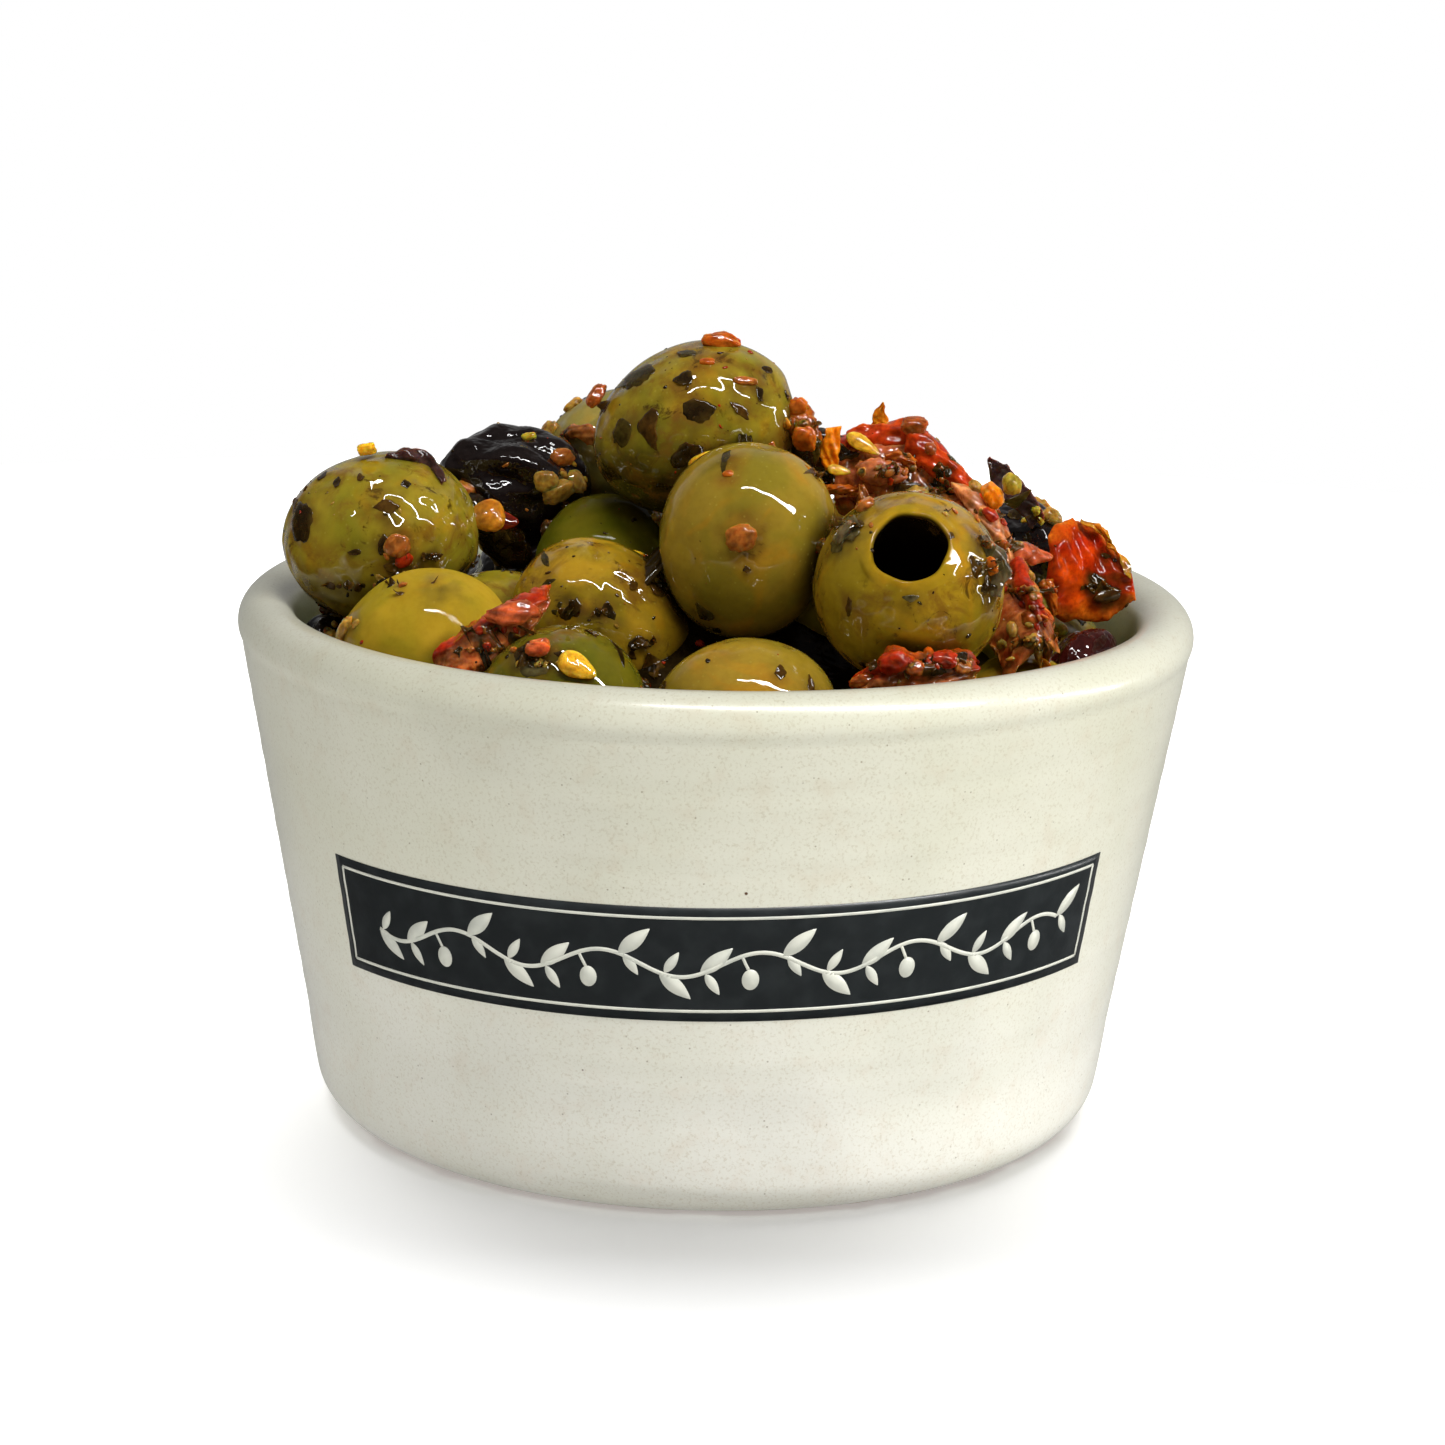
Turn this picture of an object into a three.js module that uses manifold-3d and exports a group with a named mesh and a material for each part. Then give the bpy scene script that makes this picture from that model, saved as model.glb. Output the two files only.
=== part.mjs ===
// A stoneware bowl of marinated olives with pieces of sun-dried tomato.
// Millimetres, +Z up. The origin is the centre of the base, and the front faces -Y.
import * as THREE from 'three';
import { mergeVertices } from 'three/addons/utils/BufferGeometryUtils.js';
import Module from 'manifold-3d';

const wasm = await Module();
wasm.setup();

// Bowl
const RIM_RADIUS = 50;
const BOWL_HEIGHT = 55;
const BASE_RADIUS = 42;
const BASE_CORNER = 5;
const LIP = 3;                // the full-round lip's radius, half the wall
const FLOOR = 6;
const FLOOR_FILLET = 8;
const FOOT_WIDTH = 4.5;       // flat ring that the bowl stands on
const FOOT_RECESS = 0.8;
const ROUND_STEPS = 48;

// Food
const CLEARANCE = 0.3;        // between one solid and the next
const TINY_EDGE = 0.02;
const CORE_STEPS = 24;
const CORE_EDGE_Z = 41;       // where the core's dome leaves the wall
const CORE_TOP_Z = 60;
const PIT_RADIUS = 3.5;
const PIT_DEPTH = 14;
const FLAKE_THICKNESS = 0.9;
const FLAKE_SINK = 0.35;      // how far a flake's underside sits in the olive
const FLAKE_COUNT = 46;
const CRUMB_COUNT = 22;
const SEED_COUNT = 8;

const GLAZE = { color: 0xe9e9da, roughness: 0.22, metalness: 0 };
const OLIVE = { color: 0x7d7426, roughness: 0.35, metalness: 0 };
const TOMATO = { color: 0x9c2a14, roughness: 0.35, metalness: 0 };

// Olives: centre, half length, half width, axis azimuth and elevation in degrees
const OLIVES = {
  top: { at: [-2.6, -3, 72.5], half: 10.8, girth: 8.7, turn: [0, 22] },
  middle: { at: [3, -17, 63.5], half: 10, girth: 9, turn: [0, 80] },
  pitted: { at: [19, -24, 60.5], half: 9.9, girth: 9.5, turn: [-93, 38] },
  left: { at: [-34.8, -5, 60.5], half: 10.2, girth: 9.2, turn: [10, 0] },
  front_left: { at: [-29, -20, 52], half: 9, girth: 8.5, turn: [0, 5] },
  square: { at: [-11.7, -15, 54.4], half: 9.3, girth: 8, turn: [8, -30], squareness: 2.4 },
  shaded: { at: [-12, 0, 57.5], half: 7.6, girth: 7, turn: [40, 30] },
  low_front: { at: [-15, -31, 49.5], half: 8.4, girth: 7.9, turn: [20, 0] },
  rim_front: { at: [3, -32, 49], half: 9.2, girth: 7.6, turn: [0, 3] },
  back_left: { at: [-11.5, 15, 67], half: 8, girth: 6.4, turn: [20, 20] },
  wrinkled: { at: [-21.5, 5, 65.5], half: 8, girth: 5.2, turn: [10, -12], wrinkle: 0.5 },
  dark_left: { at: [-19, 7, 55.5], half: 6.5, girth: 4.6, turn: [0, 75], wrinkle: 0.4 },
  dark_right: { at: [33, 13, 58], half: 6.2, girth: 4.8, turn: [-60, -20], wrinkle: 0.3 },
  back: { at: [2, 15, 60], half: 10, girth: 8.6, turn: [60, 0] },
  back_right: { at: [19, 13, 57], half: 9.6, girth: 8.4, turn: [-30, 10] },
  ring_east: { at: [34, 4, 46], half: 9, girth: 8.2, turn: [95, 0] },
  ring_northeast: { at: [28.5, 20.5, 49], half: 9.4, girth: 8.2, turn: [130, 0] },
  ring_north: { at: [15, 31, 51], half: 9.8, girth: 8.4, turn: [20, 0] },
  ring_north_left: { at: [-2, 33, 50], half: 9.2, girth: 8.2, turn: [-10, 10] },
  ring_northwest: { at: [-19, 28, 45], half: 9, girth: 7.4, turn: [30, 0] },
  ring_west: { at: [-31, 15, 46], half: 9, girth: 7.6, turn: [60, 0] },
  ring_southwest: { at: [-33.5, -5, 44], half: 8.6, girth: 7.6, turn: [80, 0] },
  ring_southeast: { at: [32, -13, 44], half: 8.8, girth: 7.8, turn: [60, 0] },
  ring_south: { at: [20, -29, 43], half: 8.8, girth: 7.8, turn: [20, 0] },
  inner_north: { at: [-9, 21, 53], half: 8.4, girth: 7.6, turn: [-50, 20] },
  inner_west: { at: [-22, 16, 51], half: 7.6, girth: 5.6, turn: [100, 10], wrinkle: 0.4 },
  inner_south: { at: [12, -7, 56], half: 9, girth: 8, turn: [20, 0] },
  inner_east: { at: [22.5, 2, 60], half: 8, girth: 7.2, turn: [20, 0] },
  inner_southwest: { at: [-23, -8, 50.5], half: 8.6, girth: 7.6, turn: [20, 0] },
  inner_centre: { at: [3, 3, 58.5], half: 9.2, girth: 8, turn: [20, 0] },
  gap_north: { at: [11, 23, 48], half: 8.6, girth: 7.6, turn: [70, 0] },
  wall_left: { at: [-40.4, -7.6, 50.2], half: 3.6, girth: 2.6, turn: [70, 30], wrinkle: 0.2 },
  wall_right: { at: [38.2, -9.4, 49.6], half: 5.2, girth: 3.8, turn: [65, 10], wrinkle: 0.3 },
};
const PITTED = 'pitted';

// Sun-dried tomato: stations along a strip, each a centre, the direction across it and its width
const TOMATOES = {
  tomato_ridge: {
    thickness: 3.4, crumple: 0.7, drape: 3, seed: 3, steps: 20, across: 6,
    stations: [
      { at: [11, -1, 69.6], side: [-0.1, 0.93, 0.35], width: 10 },
      { at: [16, -0.5, 71], side: [0, 0.93, 0.36], width: 14 },
      { at: [20, -1.5, 70.6], side: [0.05, 0.92, 0.38], width: 15 },
      { at: [24.2, -3.5, 66.4], side: [0.2, 0.92, 0.33], width: 12 },
      { at: [27.4, -7, 63], side: [0.45, 0.84, 0.3], width: 10 },
      { at: [30.2, -11.5, 59.6], side: [0.6, 0.74, 0.3], width: 9 },
      { at: [31.6, -16, 56.4], side: [0.7, 0.64, 0.3], width: 8 },
      { at: [32.2, -20, 54], side: [0.8, 0.5, 0.3], width: 6 },
    ],
  },
  tomato_flap: {
    thickness: 1.8, crumple: 0.5, drape: 0.8, seed: 8, steps: 10, across: 8,
    stations: [
      { at: [34.6, -5, 59.4], side: [0.1, 0.3, 0.95], width: 6 },
      { at: [37, -3.4, 58.6], side: [0.05, 0.32, 0.94], width: 11.5 },
      { at: [40, -2.4, 58.3], side: [-0.1, 0.35, 0.93], width: 10 },
      { at: [43.4, -2.8, 57.6], side: [-0.2, 0.35, 0.9], width: 3.5 },
    ],
  },
  tomato_front_left: {
    thickness: 2.4, crumple: 0.4, drape: 0.6, seed: 5, steps: 10, across: 4,
    stations: [
      { at: [-27.6, -30, 53], side: [0, 0.6, 0.8], width: 3 },
      { at: [-23, -30.6, 55.6], side: [0, 0.5, 0.87], width: 6 },
      { at: [-19.2, -30.2, 57.8], side: [0, 0.4, 0.92], width: 6 },
      { at: [-16.4, -28, 59.2], side: [0.2, 0.5, 0.84], width: 3.4 },
    ],
  },
  tomato_front_right: {
    thickness: 2.6, crumple: 0.5, drape: 0.6, seed: 9, steps: 10, across: 4,
    stations: [
      { at: [13.6, -36, 53.2], side: [0, 0.45, 0.89], width: 2.6 },
      { at: [16.6, -36, 54.6], side: [0, 0.45, 0.89], width: 5 },
      { at: [20, -35.6, 54.6], side: [0, 0.5, 0.87], width: 4.4 },
      { at: [23.4, -33.6, 54.6], side: [0, 0.5, 0.87], width: 4.6 },
      { at: [25.6, -32.4, 54.4], side: [0, 0.5, 0.87], width: 2.6 },
    ],
  },
};

// --- Random numbers, always in the same order ---

function randomFrom(seed) {
  let state = seed;
  return () => {
    state = (state * 1664525 + 1013904223) % 4294967296;
    return state / 4294967296;
  };
}

// --- Solids: closed meshes that can be joined and cut ---

function toSolid(geometry, weld = 1e-4) {
  geometry.deleteAttribute('normal');
  geometry.deleteAttribute('uv');
  const merged = mergeVertices(geometry, weld);
  const index = merged.index.array;
  const triangles = [];
  for (let i = 0; i < index.length; i += 3) {
    const [a, b, c] = [index[i], index[i + 1], index[i + 2]];
    if (a !== b && b !== c && c !== a) triangles.push(a, b, c);
  }
  return new wasm.Manifold(new wasm.Mesh({
    numProp: 3,
    vertProperties: new Float32Array(merged.attributes.position.array),
    triVerts: new Uint32Array(triangles),
  }));
}

function toGeometry(solid) {
  const data = solid.getMesh();
  const geometry = new THREE.BufferGeometry();
  geometry.setAttribute('position', new THREE.BufferAttribute(new Float32Array(data.vertProperties), 3));
  geometry.setIndex(new THREE.BufferAttribute(new Uint32Array(data.triVerts), 1));
  return geometry;
}

function toMesh(name, solid, look) {
  const geometry = toGeometry(solid);
  geometry.computeVertexNormals();
  const mesh = new THREE.Mesh(geometry, new THREE.MeshStandardMaterial(look));
  mesh.name = name;
  return mesh;
}

// The largest outer shell, which drops loose scraps and fills sealed hollows, its tiny edges closed up
function oneBody(solid) {
  const largest = solid.decompose().reduce((best, part) => (part.volume() > best.volume() ? part : best));
  return toSolid(toGeometry(largest), TINY_EDGE);
}

// --- The bowl, turned round +Z ---

function arc(points, cx, cz, radius, from, to, steps) {
  for (let i = 0; i <= steps; i += 1) {
    const angle = THREE.MathUtils.degToRad(from + ((to - from) * i) / steps);
    points.push(new THREE.Vector2(cx + radius * Math.cos(angle), cz + radius * Math.sin(angle)));
  }
}

// Angle of the outward normal of the straight wall, the common tangent of base corner and lip
function wallAngle() {
  const run = RIM_RADIUS - LIP - (BASE_RADIUS - BASE_CORNER);
  const rise = BOWL_HEIGHT - LIP - BASE_CORNER;
  const slope = Math.atan2(rise, run);
  return THREE.MathUtils.radToDeg(slope - Math.acos((BASE_CORNER - LIP) / Math.hypot(run, rise)));
}

// Centre radius of the fillet between floor and inner wall, which is parallel to the outer one
function filletCentre() {
  const angle = THREE.MathUtils.degToRad(wallAngle());
  const normal = new THREE.Vector2(Math.cos(angle), Math.sin(angle));
  const inner = new THREE.Vector2(RIM_RADIUS - LIP, BOWL_HEIGHT - LIP).addScaledVector(normal, -LIP);
  return (inner.dot(normal) - FLOOR_FILLET - normal.y * (FLOOR + FLOOR_FILLET)) / normal.x;
}

function turned(points, steps) {
  return toSolid(new THREE.LatheGeometry(points, steps).rotateX(Math.PI / 2));
}

// The bowl's inside, shrunk by the clearance, up to CORE_EDGE_Z, with a dome above
function coreProfile() {
  const angle = wallAngle();
  const normal = THREE.MathUtils.degToRad(angle);
  const centre = filletCentre();
  const radius = FLOOR_FILLET - CLEARANCE;
  const points = [new THREE.Vector2(0, FLOOR + CLEARANCE)];
  arc(points, centre, FLOOR + FLOOR_FILLET, radius, -90, angle, 4);
  const low = points[points.length - 1];
  const lean = -Math.tan(normal);
  const edge = low.x + (CORE_EDGE_Z - low.y) * lean;
  points.push(new THREE.Vector2(edge, CORE_EDGE_Z));
  const rings = 6;
  for (let i = 1; i <= rings; i += 1) {
    const t = i / rings;
    const z = CORE_EDGE_Z + (CORE_TOP_Z - CORE_EDGE_Z) * Math.sin((t * Math.PI) / 2);
    points.push(new THREE.Vector2(edge * (1 - t), z));
  }
  return points;
}

function bowlProfile(grow) {
  const angle = wallAngle();
  const corner = BASE_RADIUS - BASE_CORNER;
  const points = [new THREE.Vector2(0, FOOT_RECESS - grow)];
  points.push(new THREE.Vector2(corner - FOOT_WIDTH - 1, FOOT_RECESS - grow));
  points.push(new THREE.Vector2(corner - FOOT_WIDTH, -grow));
  arc(points, corner, BASE_CORNER, BASE_CORNER + grow, -90, angle, 4);
  const lip = [RIM_RADIUS - LIP, BOWL_HEIGHT - LIP, LIP + grow];
  arc(points, ...lip, angle, 0, 1);
  arc(points, ...lip, 30, 150, 4);
  arc(points, ...lip, 180 + angle, 180 + angle, 1);
  arc(points, filletCentre(), FLOOR + FLOOR_FILLET, FLOOR_FILLET - grow, angle, -90, 4);
  points.push(new THREE.Vector2(0, FLOOR + grow));
  return points;
}

// --- Olives ---

// Turns a shape made along +Z to an azimuth and elevation in degrees
function turnTo([azimuth, elevation]) {
  const a = THREE.MathUtils.degToRad(azimuth);
  const e = THREE.MathUtils.degToRad(elevation);
  const axis = new THREE.Vector3(Math.cos(a) * Math.cos(e), Math.sin(a) * Math.cos(e), Math.sin(e));
  return new THREE.Quaternion().setFromUnitVectors(new THREE.Vector3(0, 0, 1), axis);
}

// Point on an olive for t from pole to pole and phi round it, in its own frame
function olivePoint(olive, t, phi) {
  const power = 2 / (olive.squareness ?? 2);
  const along = Math.sign(Math.cos(t)) * Math.abs(Math.cos(t)) ** power * olive.half;
  const out = Math.abs(Math.sin(t)) ** power * olive.girth * (1 + 0.05 * Math.cos(t));
  const fold = (olive.wrinkle ?? 0) * Math.sin(t) * Math.sin(5 * phi + 3 * t);
  return new THREE.Vector3(Math.cos(phi) * (out + fold), Math.sin(phi) * (out + fold), along);
}

function oliveSolid(olive, rings, sides) {
  const positions = [];
  for (let i = 0; i <= rings; i += 1) {
    for (let j = 0; j < sides; j += 1) {
      const pole = i === 0 || i === rings;
      const p = olivePoint(olive, (Math.PI * i) / rings, pole ? 0 : (2 * Math.PI * j) / sides);
      if (pole) p.setX(0).setY(0);
      positions.push(...p.toArray());
    }
  }
  const index = [];
  for (let i = 0; i < rings; i += 1) {
    for (let j = 0; j < sides; j += 1) {
      const k = (j + 1) % sides;
      const [a, b] = [i * sides + j, i * sides + k];
      const [c, d] = [a + sides, b + sides];
      index.push(a, c, b, b, c, d);
    }
  }
  const geometry = new THREE.BufferGeometry();
  geometry.setAttribute('position', new THREE.Float32BufferAttribute(positions, 3));
  geometry.setIndex(index);
  geometry.applyQuaternion(turnTo(olive.turn));
  geometry.translate(...olive.at);
  return toSolid(geometry);
}

// A hole for the stone, from the end that the axis points to
function pitSolid(olive) {
  const reach = 3;
  const pit = new THREE.CylinderGeometry(PIT_RADIUS, PIT_RADIUS, PIT_DEPTH + reach, 14);
  pit.rotateX(Math.PI / 2);
  pit.translate(0, 0, olive.half + (reach - PIT_DEPTH) / 2);
  pit.applyQuaternion(turnTo(olive.turn));
  pit.translate(...olive.at);
  return toSolid(pit);
}

// --- Herb flakes, garlic crumbs and seeds, spread over the olives that show ---

// How far a point is outside an olive, roughly, in millimetres
function outside(olive, point) {
  const local = point.clone().sub(new THREE.Vector3(...olive.at));
  local.applyQuaternion(turnTo(olive.turn).invert());
  const scaled = Math.hypot(Math.hypot(local.x, local.y) / olive.girth, local.z / olive.half);
  return (1 - 1 / scaled) * local.length();
}

// A random spot on an olive: its point and its outward normal
function spotOn(olive, random) {
  const t = Math.acos(1 - 2 * random());
  const local = olivePoint(olive, t, 2 * Math.PI * random());
  const { girth, half } = olive;
  const normal = new THREE.Vector3(local.x / girth ** 2, local.y / girth ** 2, local.z / half ** 2);
  const turn = turnTo(olive.turn);
  const point = local.applyQuaternion(turn).add(new THREE.Vector3(...olive.at));
  return { point, normal: normal.normalize().applyQuaternion(turn) };
}

function isExposed(name, spot, margin) {
  const { point, normal } = spot;
  if (normal.z < -0.2 || point.z < BOWL_HEIGHT - 3) return false;
  if (name === PITTED && outsideMouth(point) < margin) return false;
  return Object.entries(OLIVES).every(([key, olive]) => key === name || outside(olive, point) > margin);
}

// Distance from the pit's edge
function outsideMouth(point) {
  const olive = OLIVES[PITTED];
  const mouth = new THREE.Vector3(0, 0, olive.half).applyQuaternion(turnTo(olive.turn));
  return point.distanceTo(mouth.add(new THREE.Vector3(...olive.at))) - PIT_RADIUS;
}

// Spots spread evenly: of several random ones, the one farthest from those already taken
function spreadSpots(count, margin, random) {
  const names = Object.keys(OLIVES);
  const spots = [];
  while (spots.length < count) {
    let best = null;
    let bestRoom = -1;
    let tries = 0;
    while (tries < 14) {
      const name = names[Math.floor(random() * names.length)];
      const spot = spotOn(OLIVES[name], random);
      if (isExposed(name, spot, margin)) {
        tries += 1;
        const room = Math.min(99, ...spots.map((other) => other.point.distanceTo(spot.point)));
        if (room > bestRoom) [best, bestRoom] = [spot, room];
      }
    }
    spots.push(best);
  }
  return spots;
}

// Sets a small shape, made round the origin with +Z outward, on a spot
function setOn(geometry, spot, spin, lift) {
  geometry.rotateZ(spin);
  const up = new THREE.Vector3(0, 0, 1);
  geometry.applyQuaternion(new THREE.Quaternion().setFromUnitVectors(up, spot.normal));
  const place = spot.point.clone().addScaledVector(spot.normal, lift);
  geometry.translate(place.x, place.y, place.z);
  return toSolid(geometry);
}

function flakeSolid(spot, random) {
  const corners = [0, 1, 2, 3, 4].map((k) => {
    const angle = (2 * Math.PI * (k + 0.5 * random())) / 5;
    return new THREE.Vector2(Math.cos(angle), Math.sin(angle));
  });
  const flake = new THREE.ExtrudeGeometry(new THREE.Shape(corners), { depth: 1, bevelEnabled: false });
  const size = 0.9 + 1.1 * random() ** 1.5;
  flake.scale(size * (1 + 0.5 * random()), size, FLAKE_THICKNESS);
  return setOn(flake, spot, random() * 6, -FLAKE_SINK);
}

function crumbSolid(spot, random) {
  const crumb = new THREE.OctahedronGeometry(1 + 0.5 * random());
  crumb.scale(1.2, 1, 0.9);
  return setOn(crumb, spot, random() * 6, 0.25);
}

function seedSolid(spot, random) {
  const seed = new THREE.OctahedronGeometry(1, 1);
  seed.scale(1.9, 1.4, 0.8);
  return setOn(seed, spot, random() * 6, 0.25);
}

function bits() {
  const random = randomFrom(42);
  const spots = spreadSpots(FLAKE_COUNT + CRUMB_COUNT + SEED_COUNT, 1.2, random);
  return spots.map((spot, i) => {
    if (i < SEED_COUNT) return seedSolid(spot, random);
    return i < SEED_COUNT + FLAKE_COUNT ? flakeSolid(spot, random) : crumbSolid(spot, random);
  });
}

// --- Sun-dried tomato: crumpled strips ---

function crumpling(seed) {
  const random = randomFrom(seed);
  const waves = [];
  for (let k = 0; k < 5; k += 1) {
    waves.push([1 + 3 * random(), 2.5 * random() - 1.2, 6.28 * random(), 1 / (1 + 0.5 * k)]);
  }
  return (u, v) => waves.reduce((sum, [f, g, phase, size]) => (
    sum + size * Math.sin(2 * Math.PI * (f * u + g * v) + phase)), 0) / 2;
}

// Both faces of the strip are one closed section, carried along the stations
function stripSolid(strip, grow) {
  const { stations, steps, across } = strip;
  const path = new THREE.CatmullRomCurve3(stations.map((s) => new THREE.Vector3(...s.at)));
  const crumple = crumpling(strip.seed);
  const ragged = crumpling(strip.seed + 1);
  const ring = 2 * (across + 1);
  const positions = [];
  for (let i = 0; i <= steps; i += 1) {
    const u = i / steps;
    const place = u * (stations.length - 1);
    const first = Math.min(Math.floor(place), stations.length - 2);
    const [from, to] = [stations[first], stations[first + 1]];
    const blend = place - first;
    const side = new THREE.Vector3(...from.side).lerp(new THREE.Vector3(...to.side), blend).normalize();
    const tangent = path.getTangent(u);
    const normal = side.clone().cross(tangent).normalize();
    const width = THREE.MathUtils.lerp(from.width, to.width, blend) * (1 + 0.08 * ragged(u, 0)) + 2 * grow;
    const end = i === 0 ? -grow : grow * (i === steps);
    const centre = path.getPoint(u).addScaledVector(tangent, end);
    for (let face = 0; face < 2; face += 1) {
      for (let j = 0; j <= across; j += 1) {
        const v = face === 0 ? -1 + (2 * j) / across : 1 - (2 * j) / across;
        const half = (strip.thickness / 2) * (0.45 + 0.55 * Math.sqrt(1 - v * v)) + grow;
        const sag = strip.crumple * crumple(u, v) + strip.drape * v * v;
        const offset = sag + (face === 0 ? half : -half);
        const p = centre.clone().addScaledVector(side, (v * width) / 2).addScaledVector(normal, offset);
        positions.push(p.x, p.y, p.z);
      }
    }
  }
  const index = [];
  for (let i = 0; i < steps; i += 1) {
    for (let j = 0; j < ring; j += 1) {
      const k = (j + 1) % ring;
      const [a, b] = [i * ring + j, i * ring + k];
      const [c, d] = [a + ring, b + ring];
      index.push(a, b, c, b, d, c);
    }
  }
  const last = steps * ring;
  for (let j = 0; j < across; j += 1) {
    const [top, under] = [j, ring - 1 - j];
    index.push(top, under, top + 1, top + 1, under, under - 1);
    index.push(last + top, last + top + 1, last + under, last + top + 1, last + under - 1, last + under);
  }
  const geometry = new THREE.BufferGeometry();
  geometry.setAttribute('position', new THREE.Float32BufferAttribute(positions, 3));
  geometry.setIndex(index);
  return toSolid(geometry);
}

// --- The heap: core, olives and bits fused, cut clear of the bowl and the tomato ---

function heapSolid() {
  let heap = turned(coreProfile(), CORE_STEPS);
  for (const [name, olive] of Object.entries(OLIVES)) {
    const buried = /^(ring|inner|gap|wall)/.test(name);
    heap = heap.add(oliveSolid(olive, buried ? 6 : 8, buried ? 10 : 14));
  }
  for (const bit of bits()) heap = heap.add(bit);
  heap = heap.subtract(pitSolid(OLIVES[PITTED]));
  heap = heap.subtract(turned(bowlProfile(CLEARANCE), ROUND_STEPS));
  for (const strip of Object.values(TOMATOES)) heap = heap.subtract(stripSolid(strip, CLEARANCE));
  return oneBody(heap);
}

const object = new THREE.Group();
object.add(toMesh('bowl', turned(bowlProfile(0), ROUND_STEPS), GLAZE));
object.add(toMesh('olive_heap', heapSolid(), OLIVE));
for (const [name, strip] of Object.entries(TOMATOES)) {
  object.add(toMesh(name, stripSolid(strip, 0), TOMATO));
}

export default object;
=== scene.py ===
"""A stoneware bowl heaped with marinated olives and sun-dried tomato. Lengths here are in millimetres."""
import functools
import itertools
import math

import bmesh
import bpy
import numpy as np
from mathutils import Matrix, Vector, noise
from mathutils.bvhtree import BVHTree


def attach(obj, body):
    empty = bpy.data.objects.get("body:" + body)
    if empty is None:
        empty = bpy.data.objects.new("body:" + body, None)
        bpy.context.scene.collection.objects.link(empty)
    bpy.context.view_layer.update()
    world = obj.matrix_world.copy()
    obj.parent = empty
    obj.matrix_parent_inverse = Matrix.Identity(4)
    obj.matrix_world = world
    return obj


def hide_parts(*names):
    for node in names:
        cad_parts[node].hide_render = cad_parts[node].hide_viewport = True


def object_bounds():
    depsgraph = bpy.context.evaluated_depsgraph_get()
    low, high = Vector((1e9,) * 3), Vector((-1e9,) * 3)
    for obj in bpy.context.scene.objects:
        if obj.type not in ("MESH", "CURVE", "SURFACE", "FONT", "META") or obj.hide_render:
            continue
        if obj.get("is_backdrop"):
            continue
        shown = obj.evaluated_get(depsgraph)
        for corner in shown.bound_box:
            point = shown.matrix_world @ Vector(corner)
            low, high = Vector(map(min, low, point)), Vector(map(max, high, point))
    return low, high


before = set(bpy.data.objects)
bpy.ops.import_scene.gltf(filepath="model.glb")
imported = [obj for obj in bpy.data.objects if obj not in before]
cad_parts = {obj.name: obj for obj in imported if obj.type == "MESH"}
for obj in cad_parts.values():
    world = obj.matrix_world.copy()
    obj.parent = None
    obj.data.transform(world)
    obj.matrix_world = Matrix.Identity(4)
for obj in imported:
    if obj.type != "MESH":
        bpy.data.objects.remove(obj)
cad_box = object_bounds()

MM = 0.001
UP = np.array([0.0, 0.0, 1.0])
PICTURE = 1445  # side of the photograph, in pixels
TURN = 6.28  # a full turn, for random angles

# Bowl, as in the solids
RIM_RADIUS = 50
BOWL_HEIGHT = 55
BASE_RADIUS = 42
BASE_CORNER = 5
LIP = 3
FLOOR = 6
FLOOR_FILLET = 8
FOOT_WIDTH = 4.5
FOOT_RECESS = 0.8
WALL_ANGLE = math.radians(-9.62)
SHOULDER_Z = 51.2  # a faint step where the rolled lip ends
SHOULDER_STEP = 0.16
CLEARANCE = 0.3

# The dark band on the front of the wall, with a thin line inside its edge and a vine in its middle
BAND_Z = 27.9
BAND_HEIGHT = 12.1
BAND_FROM, BAND_TO = -53.0, 56.0  # degrees from the front, to the right
BAND_TILT = 0.0155
LINE_INSET = 1.1
LINE_WIDTH = 0.3
FIELD_PROUD, PRINT_PROUD = 0.05, 0.08  # how far the band, and what is printed on it, stand out of the wall

# Camera, fitted to the outline of the bowl
CAMERA_BACK = 400.0
CAMERA_HEIGHT = 137.943
CAMERA_FOCAL = 3879.87  # pixels of the photograph
CAMERA_YAW = 0.0023176
CAMERA_PITCH = 0.2386892
CAMERA_ROLL = 0.0222593

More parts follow.
